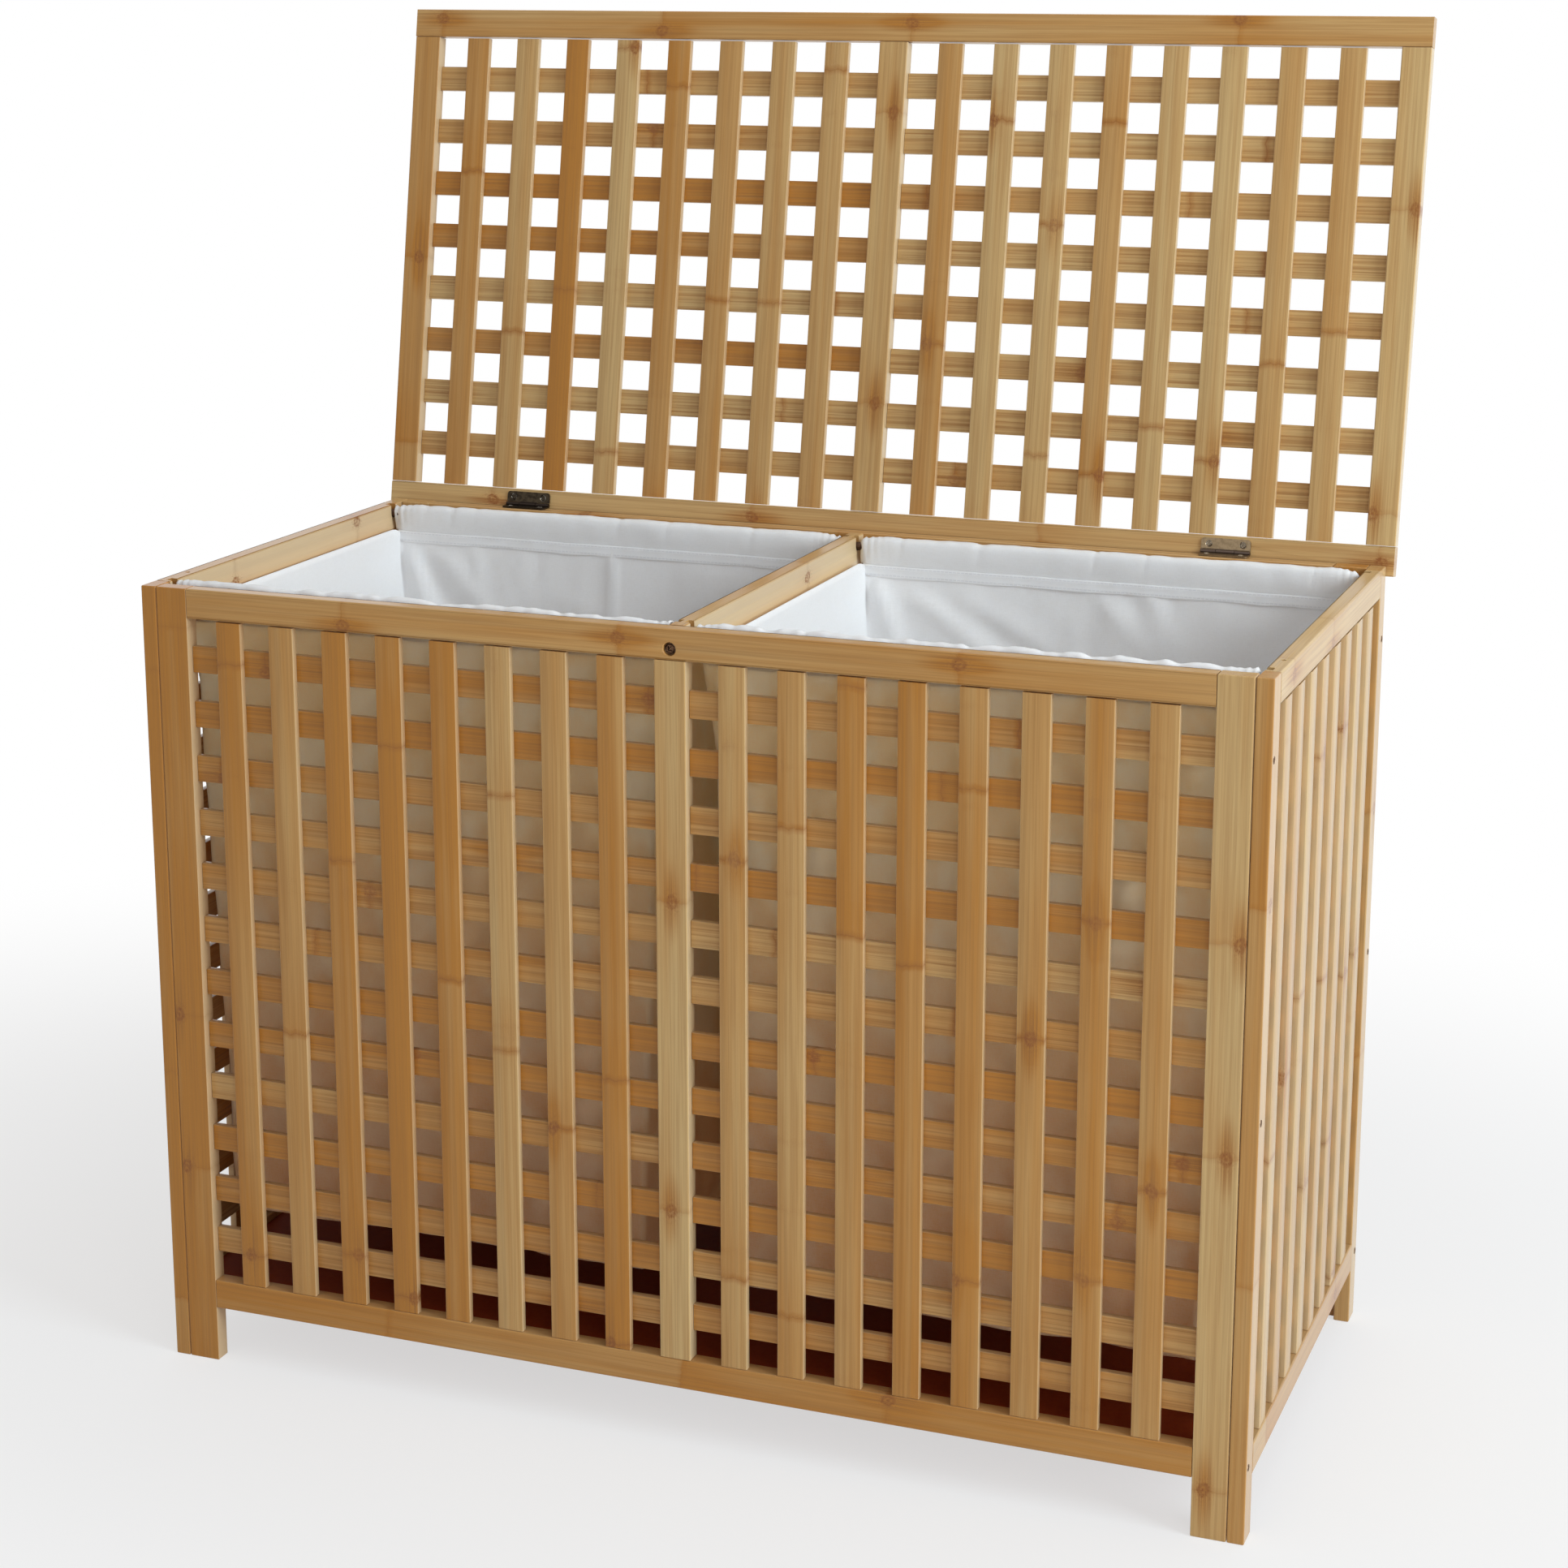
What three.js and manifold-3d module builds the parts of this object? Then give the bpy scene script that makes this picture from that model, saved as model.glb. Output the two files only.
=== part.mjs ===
// A laundry hamper with two bins: a box of slatted bamboo panels, two cloth liners on rods,
// and a slatted lid that stands open on two hinges.
// Millimetres, +Z up. X runs from left to right and Y from front to back.

import * as THREE from "three";
import { mergeVertices } from "three/addons/utils/BufferGeometryUtils.js";
import Module from "manifold-3d";

const wasm = await Module();
wasm.setup();

// Whole box, without its lid
const WIDTH = 760;
const DEPTH = 360;
const HEIGHT = 550;

// Frame stock of the box
const PANEL_THICKNESS = 12;
const SIDE_THICKNESS = 11;
const STILE_WIDTH = 23;
const MIDDLE_STILE_WIDTH = 21.5;
const POST_WIDTH = 18.5;
const TOP_RAIL_HEIGHT = 20;
const BOTTOM_RAIL_HEIGHT = 20.5;
const LEG_HEIGHT = 39.5;
const EASED_EDGE = 0.8;
const JOINT_GAP = 0.3;

// Slats: uprights lie outside and level slats behind them, glued face to face where they cross
const SLAT_WIDTH = 18;
const SLAT_THICKNESS = 5;
const SLAT_RECESS = 0.8;
const UPRIGHTS = 8;
const LEVELS = 12;
const LID_LEVELS = 8;

// Bar between the two bins, and its screws
const BAR_THICKNESS = 11;
const BAR_HEIGHT = 25;
const BAR_SCREW_DROP = 13;
const BAR_SCREW_LENGTH = 30;
const BAR_SCREW_SHANK = 2;
const BAR_SCREW_HEAD = 3.7;
const BAR_SCREW_HEAD_HEIGHT = 2.2;
const COUNTERBORE_RADIUS = 4.3;
const COUNTERBORE_DEPTH = 3.6;

// Liner rods, and the notches in the rails that their ends drop into
const ROD_RADIUS = 3;
const ROD_INSET = 25;
const ROD_DROP = 7;
const RAIL_NOTCH = 5;
const BAR_NOTCH = 4;

// Small fixing hole in the top of each side rail
const FIXING_HOLE_RADIUS = 1.5;
const FIXING_HOLE_DEPTH = 9;
const FIXING_HOLE_INSET = 50;

// Cloth liners
const CLOTH = 1.5;
const CASING_END_GAP = 3;
const BAG_TOP_GAP = 7;
const BAG_BOTTOM_GAP = 18;
const BAG_CORNER = 10;
const BAG_FLOOR = 105;
const BAG_SIDE_DROP = 17;
const BAG_SHOULDER = 12;

// Bottom board and the battens under it
const BATTEN_SIZE = 10;
const BATTEN_RAISE = 2;
const BOARD_THICKNESS = 3;
const BOARD_CLEARANCE = 0.5;

// Lid
const LID_DEPTH = 380;
const LID_THICKNESS = 11;
const LID_SIDE_OVERHANG = 5;
const LID_STILE_WIDTH = 20.5;
const LID_RAIL_WIDTH = 20.5;
const LID_BEHIND_AXIS = 9;
const LID_OPEN_DEGREES = 100;

// Hinges and their screws
const HINGE_WIDTH = 35;
const HINGE_INSET = 112;
const LEAF_REACH = 9.5;
const LEAF_THICKNESS = 1;
const LEAF_CORNER = 2.5;
const BARREL_RADIUS = 1.5;
const PIN_RADIUS = 0.6;
const MIDDLE_KNUCKLE = 13;
const SCREW_SPACING = 24;
const SCREW_REACH = 5.5;
const SCREW_LENGTH = 9;
const SCREW_TIP = 3;
const SCREW_SHANK = 1.2;
const SCREW_HEAD = 2.3;
const SCREW_HEAD_DEPTH = 1.1;

// Cuts run this far past the faces that they open
const OVERRUN = 2;
const ROUND_SIDES = 16;
const CORNER_STEPS = 4;

// Places that more than one piece follows
const CLEAR = JOINT_GAP;
const PANEL_WIDTH = WIDTH - 2 * SIDE_THICKNESS;
const BAR_LEFT = (WIDTH - BAR_THICKNESS) / 2;
const BAR_RIGHT = (WIDTH + BAR_THICKNESS) / 2;
const ROD_Z = HEIGHT - ROD_DROP;
const RAIL_TOP = LEG_HEIGHT + BOTTOM_RAIL_HEIGHT;
const LEAN = THREE.MathUtils.degToRad(LID_OPEN_DEGREES) - Math.PI / 2;
const AXIS_RISE = BARREL_RADIUS + CLEAR;
// The axis lies so that the lid, leaning back, just stays clear of the box's back with its lower edge
const AXIS_BEHIND = LID_BEHIND_AXIS * Math.sin(LEAN) - AXIS_RISE * Math.cos(LEAN) + CLEAR;
const AXIS_Y = DEPTH + AXIS_BEHIND;
const AXIS_Z = HEIGHT + AXIS_RISE;
const LID_TOP_REACH = LID_DEPTH - LID_BEHIND_AXIS;
const LID_FACES = AXIS_RISE + LID_THICKNESS;
const OVERALL_DEPTH = AXIS_Y + (LID_TOP_REACH - EASED_EDGE) * Math.sin(LEAN) + LID_FACES * Math.cos(LEAN);
const HINGE_CENTRES = { left: HINGE_INSET, right: WIDTH - HINGE_INSET };
const LEAF_FACE = BARREL_RADIUS - LEAF_THICKNESS;
const PILOT_RADIUS = SCREW_SHANK + CLEAR;
const PILOT_DEPTH = LEAF_FACE + SCREW_LENGTH + CLEAR - AXIS_RISE;
const BAR_SCREW_SEAT = COUNTERBORE_DEPTH - CLEAR;
const BAR_SCREW_Z = HEIGHT - BAR_SCREW_DROP;

const bamboo = new THREE.MeshStandardMaterial({ color: 0xc9a06a, roughness: 0.55, metalness: 0 });
const cotton = new THREE.MeshStandardMaterial({ color: 0xf1eff0, roughness: 0.95, metalness: 0 });
const hardboard = new THREE.MeshStandardMaterial({ color: 0x4a2415, roughness: 0.8, metalness: 0 });
const bronze = new THREE.MeshStandardMaterial({ color: 0x6d5636, roughness: 0.4, metalness: 0.9 });
const darkSteel = new THREE.MeshStandardMaterial({ color: 0x3b2f28, roughness: 0.5, metalness: 0.8 });

const v3 = (x, y, z) => new THREE.Vector3(x, y, z);
const UNIT = { x: v3(1, 0, 0), y: v3(0, 1, 0), z: v3(0, 0, 1) };
const SECTION = { x: ["y", "z"], y: ["z", "x"], z: ["x", "y"] };

function named(name, geometry, material) {
  const mesh = new THREE.Mesh(geometry, material);
  mesh.name = name;
  return mesh;
}

// Solids for cutting and joining

function toSolid(geometry) {
  const bare = new THREE.BufferGeometry();
  bare.setAttribute("position", geometry.getAttribute("position").clone());
  if (geometry.index) bare.setIndex(geometry.index.clone());
  const merged = mergeVertices(bare);
  const vertProperties = new Float32Array(merged.getAttribute("position").array);
  const triVerts = new Uint32Array(merged.index.array);
  return new wasm.Manifold(new wasm.Mesh({ numProp: 3, vertProperties, triVerts }));
}

function toGeometry(solid) {
  const mesh = solid.getMesh();
  const geometry = new THREE.BufferGeometry();
  geometry.setAttribute("position", new THREE.BufferAttribute(mesh.vertProperties, 3));
  geometry.setIndex(new THREE.BufferAttribute(mesh.triVerts, 1));
  const flat = geometry.toNonIndexed();
  flat.computeVertexNormals();
  return flat;
}

function cut(geometry, tools) {
  return toGeometry(tools.reduce((solid, tool) => solid.subtract(toSolid(tool)), toSolid(geometry)));
}

function join(geometries) {
  return toGeometry(geometries.map(toSolid).reduce((whole, piece) => whole.add(piece)));
}

// Plain shapes, placed by their corners or along an axis

function block(low, high) {
  const box = new THREE.BoxGeometry(1, 1, 1);
  const place = box.getAttribute("position");
  const corner = (share, from, to) => (share > 0 ? to : from);
  for (let i = 0; i < place.count; i += 1) {
    const x = corner(place.getX(i), low.x, high.x);
    const y = corner(place.getY(i), low.y, high.y);
    const z = corner(place.getZ(i), low.z, high.z);
    place.setXYZ(i, x, y, z);
  }
  return box;
}

function prism(outline, along, from, to) {
  const [first, second] = SECTION[along];
  const basis = new THREE.Matrix4().makeBasis(UNIT[first], UNIT[second], UNIT[along]);
  const options = { depth: to - from, bevelEnabled: false, curveSegments: CORNER_STEPS };
  const solid = new THREE.ExtrudeGeometry(outline, options);
  return solid.translate(0, 0, from).applyMatrix4(basis);
}

function round(radius, along, from, to, centre = v3(0, 0, 0)) {
  const [first, second] = SECTION[along];
  const outline = new THREE.Shape();
  for (let side = 0; side < ROUND_SIDES; side += 1) {
    const angle = (2 * Math.PI * side) / ROUND_SIDES;
    const a = centre[first] + radius * Math.cos(angle);
    const b = centre[second] + radius * Math.sin(angle);
    if (side === 0) outline.moveTo(a, b);
    else outline.lineTo(a, b);
  }
  outline.closePath();
  return prism(outline, along, from, to);
}

// A length of frame stock between two corners, with its long edges eased
function stock(low, high, along) {
  const [first, second] = SECTION[along];
  const [a, b, c, d] = [low[first], high[first], low[second], high[second]];
  const ease = EASED_EDGE;
  const outline = new THREE.Shape([
    new THREE.Vector2(a + ease, c),
    new THREE.Vector2(b - ease, c),
    new THREE.Vector2(b, c + ease),
    new THREE.Vector2(b, d - ease),
    new THREE.Vector2(b - ease, d),
    new THREE.Vector2(a + ease, d),
    new THREE.Vector2(a, d - ease),
    new THREE.Vector2(a, c + ease),
  ]);
  return prism(outline, along, low[along], high[along]);
}

// Slats evenly spaced across a field, with equal gaps between them and at both ends
function slatStarts(field, count) {
  const gap = (field - count * SLAT_WIDTH) / (count + 1);
  return Array.from({ length: count }, (_, i) => gap + i * (gap + SLAT_WIDTH));
}

// Uprights in front and level slats behind, in a field from x = 0 and z = 0
function lattice(width, height, levels) {
  const uprights = slatStarts(width, UPRIGHTS).map((x) =>
    block(v3(x, 0, 0), v3(x + SLAT_WIDTH, SLAT_THICKNESS, height)),
  );
  const crossings = slatStarts(height, levels).map((z) =>
    block(v3(0, SLAT_THICKNESS, z), v3(width, 2 * SLAT_THICKNESS, z + SLAT_WIDTH)),
  );
  return join([...uprights, ...crossings]);
}

function latticeBetween(name, left, right, low, high, levels) {
  const field = lattice(right - left - 2 * CLEAR, high - low - 2 * CLEAR, levels);
  const mesh = named(name, field, bamboo);
  mesh.position.set(left + CLEAR, SLAT_RECESS, low + CLEAR);
  return mesh;
}

// Front and back panels: full-height stiles that end in legs, rails and a middle stile between them.
// A panel's own frame has its outer face at y = 0, looking along -Y.
function widePanel(name, leftName, rightName, topRailCuts) {
  const panel = new THREE.Group();
  const t = PANEL_THICKNESS;
  const inner = STILE_WIDTH;
  const far = PANEL_WIDTH - STILE_WIDTH;
  const middleLeft = (PANEL_WIDTH - MIDDLE_STILE_WIDTH) / 2;
  const middleRight = middleLeft + MIDDLE_STILE_WIDTH;
  const railLow = HEIGHT - TOP_RAIL_HEIGHT;
  const add = (part, low, high, along) => panel.add(named(`${name}_${part}`, stock(low, high, along), bamboo));
  add(`${leftName}_stile`, v3(CLEAR, 0, 0), v3(inner, t, HEIGHT), "z");
  add(`${rightName}_stile`, v3(far, 0, 0), v3(PANEL_WIDTH - CLEAR, t, HEIGHT), "z");
  add("middle_stile", v3(middleLeft, 0, RAIL_TOP + CLEAR), v3(middleRight, t, railLow - CLEAR), "z");
  add("bottom_rail", v3(inner + CLEAR, 0, LEG_HEIGHT), v3(far - CLEAR, t, RAIL_TOP), "x");
  const topRail = stock(v3(inner + CLEAR, 0, railLow), v3(far - CLEAR, t, HEIGHT), "x");
  panel.add(named(`${name}_top_rail`, cut(topRail, topRailCuts), bamboo));
  panel.add(latticeBetween(`${name}_${leftName}_lattice`, inner, middleLeft, RAIL_TOP, railLow, LEVELS));
  panel.add(latticeBetween(`${name}_${rightName}_lattice`, middleRight, far, RAIL_TOP, railLow, LEVELS));
  return panel;
}

// Side panels: posts at the front and back, with rails and one lattice between them.
// The rods' notches open on the rail's inner face, at y = SIDE_THICKNESS.
function sidePanel(name, leftName, rightName, fixingHole) {
  const panel = new THREE.Group();
  const t = SIDE_THICKNESS;
  const inner = POST_WIDTH;
  const far = DEPTH - POST_WIDTH;
  const railLow = HEIGHT - TOP_RAIL_HEIGHT;
  const add = (part, low, high, along) => panel.add(named(`${name}_${part}`, stock(low, high, along), bamboo));
  add(`${leftName}_post`, v3(0, 0, 0), v3(inner, t, HEIGHT), "z");
  add(`${rightName}_post`, v3(far, 0, 0), v3(DEPTH, t, HEIGHT), "z");
  add("bottom_rail", v3(inner + CLEAR, 0, LEG_HEIGHT), v3(far - CLEAR, t, RAIL_TOP), "x");
  const topRail = stock(v3(inner + CLEAR, 0, railLow), v3(far - CLEAR, t, HEIGHT), "x");
  const notches = [ROD_INSET, DEPTH - ROD_INSET].flatMap((x) => rodNotch("y", x, t - RAIL_NOTCH, t + OVERRUN));
  const hole = v3(fixingHole, t / 2, 0);
  const drill = round(FIXING_HOLE_RADIUS, "z", HEIGHT - FIXING_HOLE_DEPTH, HEIGHT + OVERRUN, hole);
  panel.add(named(`${name}_top_rail`, cut(topRail, [...notches, drill]), bamboo));
  panel.add(latticeBetween(`${name}_lattice`, inner, far, RAIL_TOP, railLow, LEVELS));
  return panel;
}

// The tools that cut one notch along X or Y, centred at a place across it
function rodNotch(along, place, from, to) {
  const radius = ROD_RADIUS + CLEAR;
  const across = along === "x" ? "y" : "x";
  const centre = v3(0, 0, ROD_Z);
  centre[across] = place;
  const low = v3(0, 0, ROD_Z);
  const high = v3(0, 0, HEIGHT + OVERRUN);
  [low[across], high[across]] = [place - radius, place + radius];
  [low[along], high[along]] = [from, to];
  return [round(radius, along, from, to, centre), block(low, high)];
}

// Turned pieces, with their axis along +Y and their head's top at y = 0
function turned(profile) {
  const points = profile.map(([radius, y]) => new THREE.Vector2(radius, y));
  return new THREE.LatheGeometry(points, ROUND_SIDES);
}

function hingeScrew() {
  return turned([
    [0, 0],
    [SCREW_HEAD, 0],
    [SCREW_SHANK, SCREW_HEAD_DEPTH],
    [SCREW_SHANK, SCREW_LENGTH - SCREW_TIP],
    [0, SCREW_LENGTH],
  ]);
}

function barScrew() {
  return turned([
    [0, -BAR_SCREW_HEAD_HEIGHT],
    [BAR_SCREW_HEAD, -BAR_SCREW_HEAD_HEIGHT],
    [BAR_SCREW_HEAD, 0],
    [BAR_SCREW_SHANK, 0],
    [BAR_SCREW_SHANK, BAR_SCREW_LENGTH - SCREW_TIP],
    [0, BAR_SCREW_LENGTH],
  ]);
}

// The counterbored hole for a screw into the end of the bar, in a panel's own frame
function barScrewHole() {
  const centre = v3(PANEL_WIDTH / 2, 0, BAR_SCREW_Z);
  return [
    round(COUNTERBORE_RADIUS, "y", -OVERRUN, COUNTERBORE_DEPTH, centre),
    round(BAR_SCREW_SHANK + CLEAR, "y", 0, PANEL_THICKNESS + OVERRUN, centre),
  ];
}

// Pilot holes for the hinges' screws in the top of the back panel's rail, in that panel's own frame
function fixedLeafPilots() {
  const centres = [HINGE_INSET - SIDE_THICKNESS, PANEL_WIDTH + SIDE_THICKNESS - HINGE_INSET];
  return centres.flatMap((centre) =>
    [-SCREW_SPACING / 2, SCREW_SPACING / 2].map((offset) => {
      const place = v3(centre + offset, SCREW_REACH - AXIS_BEHIND, 0);
      return round(PILOT_RADIUS, "z", HEIGHT - PILOT_DEPTH, HEIGHT + OVERRUN, place);
    }),
  );
}

// Bar between the bins, notched on both sides for the rods and drilled at both ends
function centreBar() {
  const [front, back] = [PANEL_THICKNESS + CLEAR, DEPTH - PANEL_THICKNESS - CLEAR];
  const bar = stock(v3(BAR_LEFT, front, HEIGHT - BAR_HEIGHT), v3(BAR_RIGHT, back, HEIGHT), "y");
  const notches = [ROD_INSET, DEPTH - ROD_INSET].flatMap((y) => [
    ...rodNotch("x", y, BAR_LEFT - OVERRUN, BAR_LEFT + BAR_NOTCH),
    ...rodNotch("x", y, BAR_RIGHT - BAR_NOTCH, BAR_RIGHT + OVERRUN),
  ]);
  const reach = BAR_SCREW_SEAT + BAR_SCREW_LENGTH + CLEAR;
  const centre = v3(WIDTH / 2, 0, BAR_SCREW_Z);
  const pilots = [
    round(BAR_SCREW_SHANK + CLEAR, "y", 0, reach, centre),
    round(BAR_SCREW_SHANK + CLEAR, "y", DEPTH - reach, DEPTH, centre),
  ];
  return named("centre_bar", cut(bar, [...notches, ...pilots]), bamboo);
}

function barScrewAt(name, y, turn) {
  const screw = named(name, barScrew(), darkSteel);
  screw.position.set(WIDTH / 2, y, BAR_SCREW_Z);
  screw.rotation.z = turn;
  return screw;
}

// Rods from a side rail's notches to the bar's
function rodsBetween(name, left, right) {
  return [
    ["front", ROD_INSET],
    ["back", DEPTH - ROD_INSET],
  ].map(([place, y]) => {
    const rod = round(ROD_RADIUS, "x", left + CLEAR, right - CLEAR, v3(0, y, ROD_Z));
    return named(`${name}_${place}_rod`, rod, darkSteel);
  });
}

function roundedRectangle(left, right, front, back, corner) {
  const outline = new THREE.Shape();
  outline.moveTo(left + corner, front);
  outline.lineTo(right - corner, front);
  outline.absarc(right - corner, front + corner, corner, -Math.PI / 2, 0);
  outline.lineTo(right, back - corner);
  outline.absarc(right - corner, back - corner, corner, 0, Math.PI / 2);
  outline.lineTo(left + corner, back);
  outline.absarc(left + corner, back - corner, corner, Math.PI / 2, Math.PI);
  outline.lineTo(left, front + corner);
  outline.absarc(left + corner, front + corner, corner, Math.PI, (3 * Math.PI) / 2);
  return outline;
}

// A bag between two faces of its pocket: walls that draw in towards the floor, lower at the sides,
// and a casing round each rod along the front and back
function liner(name, left, right) {
  const wallTop = ROD_Z - ROD_RADIUS - CLEAR - CLOTH / 2;
  const middle = (left + right) / 2;
  const form = (inset, top) => {
    const [a, b] = [left + BAG_TOP_GAP + inset, right - BAG_TOP_GAP - inset];
    const [c, d] = [ROD_INSET - CLOTH / 2 + inset, DEPTH - ROD_INSET + CLOTH / 2 - inset];
    const floor = BAG_FLOOR + inset;
    const walls = prism(roundedRectangle(a, b, c, d, BAG_CORNER - inset), "z", floor, top);
    const place = walls.getAttribute("position");
    for (let i = 0; i < place.count; i += 1) {
      const fall = (wallTop - place.getZ(i)) / (wallTop - BAG_FLOOR);
      const drawn = (BAG_BOTTOM_GAP - BAG_TOP_GAP) * fall;
      place.setX(i, place.getX(i) + Math.sign(middle - place.getX(i)) * drawn);
    }
    return walls;
  };
  const shoulders = [ROD_INSET + BAG_SHOULDER, DEPTH - ROD_INSET - BAG_SHOULDER];
  const sides = block(
    v3(left, shoulders[0], HEIGHT - BAG_SIDE_DROP),
    v3(right, shoulders[1], HEIGHT),
  );
  const bag = cut(form(0, wallTop), [form(CLOTH, wallTop + OVERRUN), sides]);
  const casings = [ROD_INSET, DEPTH - ROD_INSET].map((y) => {
    const [from, to] = [left + CASING_END_GAP, right - CASING_END_GAP];
    const outside = round(ROD_RADIUS + CLEAR + CLOTH, "x", from, to, v3(0, y, ROD_Z));
    const bore = round(ROD_RADIUS + CLEAR, "x", from - OVERRUN, to + OVERRUN, v3(0, y, ROD_Z));
    return cut(outside, [bore]);
  });
  return named(name, join([bag, ...casings]), cotton);
}

// Board over the legs, lying on a batten along each wide panel
function bottom() {
  const base = new THREE.Group();
  const [left, right] = [SIDE_THICKNESS, WIDTH - SIDE_THICKNESS];
  const [front, back] = [PANEL_THICKNESS, DEPTH - PANEL_THICKNESS];
  const battenLow = LEG_HEIGHT + BATTEN_RAISE;
  const battenTop = battenLow + BATTEN_SIZE;
  const boardLow = battenTop + CLEAR;
  const batten = (name, near, far) => {
    const [low, high] = [v3(left + CLEAR, near, battenLow), v3(right - CLEAR, far, battenTop)];
    return named(name, stock(low, high, "x"), bamboo);
  };
  const low = v3(left + BOARD_CLEARANCE, front + BOARD_CLEARANCE, boardLow);
  const high = v3(right - BOARD_CLEARANCE, back - BOARD_CLEARANCE, boardLow + BOARD_THICKNESS);
  base.add(
    batten("front_batten", front + CLEAR, front + CLEAR + BATTEN_SIZE),
    batten("back_batten", back - CLEAR - BATTEN_SIZE, back - CLEAR),
    named("bottom_board", block(low, high), hardboard),
  );
  return base;
}

// A hinge leaf in the lid's frame: its barrel lies on the X axis, the plate stands up along +Z
// and its back is towards +Y. Its knuckles are the outer two, or the middle one.
function leaf(knuckles) {
  const half = HINGE_WIDTH / 2;
  const corner = LEAF_CORNER;
  const outline = new THREE.Shape();
  outline.moveTo(0, -half);
  outline.lineTo(LEAF_REACH - corner, -half);
  outline.absarc(LEAF_REACH - corner, corner - half, corner, -Math.PI / 2, 0);
  outline.lineTo(LEAF_REACH, half - corner);
  outline.absarc(LEAF_REACH - corner, half - corner, corner, 0, Math.PI / 2);
  outline.lineTo(0, half);
  const plate = prism(outline, "y", LEAF_FACE, BARREL_RADIUS);
  const middle = MIDDLE_KNUCKLE / 2;
  const outer = middle + CLEAR;
  const past = half + OVERRUN;
  const own = { outer: [[-half, -outer], [outer, half]], middle: [[-middle, middle]] }[knuckles];
  const foreign = { outer: [[-outer, outer]], middle: [[-past, -middle], [middle, past]] }[knuckles];
  const room = BARREL_RADIUS + CLEAR;
  const rooms = foreign.map(([from, to]) => block(v3(from, -room, -room), v3(to, room, room)));
  const barrels = own.map(([from, to]) => round(BARREL_RADIUS, "x", from, to));
  const bore = round(PIN_RADIUS + CLEAR, "x", -past, past);
  const sinks = [-SCREW_SPACING / 2, SCREW_SPACING / 2].map((x) =>
    turned([
      [0, LEAF_FACE - OVERRUN],
      [SCREW_HEAD + CLEAR, LEAF_FACE - OVERRUN],
      [SCREW_HEAD + CLEAR, LEAF_FACE],
      [SCREW_SHANK + CLEAR, LEAF_FACE + SCREW_HEAD_DEPTH],
      [0, LEAF_FACE + SCREW_HEAD_DEPTH],
    ]).translate(x, 0, SCREW_REACH),
  );
  return cut(join([cut(plate, rooms), ...barrels]), [bore, ...sinks]);
}

// One leaf with its two screws
function leafWithScrews(side, part, knuckles) {
  const group = new THREE.Group();
  group.add(named(`${side}_hinge_${part}_leaf`, leaf(knuckles), bronze));
  ["a", "b"].forEach((letter, i) => {
    const screw = named(`${side}_hinge_${part}_screw_${letter}`, hingeScrew(), bronze);
    screw.position.set((i - 1 / 2) * SCREW_SPACING, LEAF_FACE, SCREW_REACH);
    group.add(screw);
  });
  return group;
}

// The leaf on the box lies along the rail: the standing leaf, turned half round the line between -Z and +Y
function fixedHinge(side, x) {
  const group = leafWithScrews(side, "fixed", "outer");
  group.quaternion.setFromAxisAngle(v3(0, 1, -1).normalize(), Math.PI);
  group.add(named(`${side}_hinge_pin`, round(PIN_RADIUS, "x", -HINGE_WIDTH / 2, HINGE_WIDTH / 2), darkSteel));
  group.position.set(x, AXIS_Y, AXIS_Z);
  return group;
}

// Lid, in a frame whose X axis is the hinges' axis, with its underside towards -Y
function lid() {
  const width = WIDTH + 2 * LID_SIDE_OVERHANG;
  const t = LID_THICKNESS;
  const [low, high] = [LID_RAIL_WIDTH, LID_DEPTH - LID_RAIL_WIDTH];
  const middleLeft = (width - MIDDLE_STILE_WIDTH) / 2;
  const middleRight = middleLeft + MIDDLE_STILE_WIDTH;
  const far = width - LID_STILE_WIDTH;
  const panel = new THREE.Group();
  const pilots = Object.values(HINGE_CENTRES).flatMap((x) =>
    [-SCREW_SPACING / 2, SCREW_SPACING / 2].map((offset) => {
      const place = v3(x + LID_SIDE_OVERHANG + offset, 0, LID_BEHIND_AXIS + SCREW_REACH);
      return round(PILOT_RADIUS, "y", -OVERRUN, PILOT_DEPTH, place);
    }),
  );
  const hingeRail = stock(v3(0, 0, 0), v3(width, t, low), "x");
  const add = (part, from, to, along) => panel.add(named(`lid_${part}`, stock(from, to, along), bamboo));
  panel.add(named("lid_hinge_rail", cut(hingeRail, pilots), bamboo));
  add("front_rail", v3(0, 0, high), v3(width, t, LID_DEPTH), "x");
  add("left_stile", v3(0, 0, low + CLEAR), v3(LID_STILE_WIDTH, t, high - CLEAR), "z");
  add("right_stile", v3(far, 0, low + CLEAR), v3(width, t, high - CLEAR), "z");
  add("middle_stile", v3(middleLeft, 0, low + CLEAR), v3(middleRight, t, high - CLEAR), "z");
  panel.add(latticeBetween("lid_left_lattice", LID_STILE_WIDTH, middleLeft, low, high, LID_LEVELS));
  panel.add(latticeBetween("lid_right_lattice", middleRight, far, low, high, LID_LEVELS));
  panel.position.set(-LID_SIDE_OVERHANG, AXIS_RISE, -LID_BEHIND_AXIS);
  const swinging = new THREE.Group();
  swinging.add(panel);
  for (const [side, x] of Object.entries(HINGE_CENTRES)) {
    const moving = leafWithScrews(side, "lid", "middle");
    moving.position.x = x;
    swinging.add(moving);
  }
  swinging.position.set(0, AXIS_Y, AXIS_Z);
  swinging.rotation.x = -LEAN;
  return swinging;
}

const frontPanel = widePanel("front", "left", "right", barScrewHole());
frontPanel.position.set(SIDE_THICKNESS, 0, 0);

const backPanel = widePanel("back", "right", "left", [...barScrewHole(), ...fixedLeafPilots()]);
backPanel.position.set(WIDTH - SIDE_THICKNESS, DEPTH, 0);
backPanel.rotation.z = Math.PI;

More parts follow.
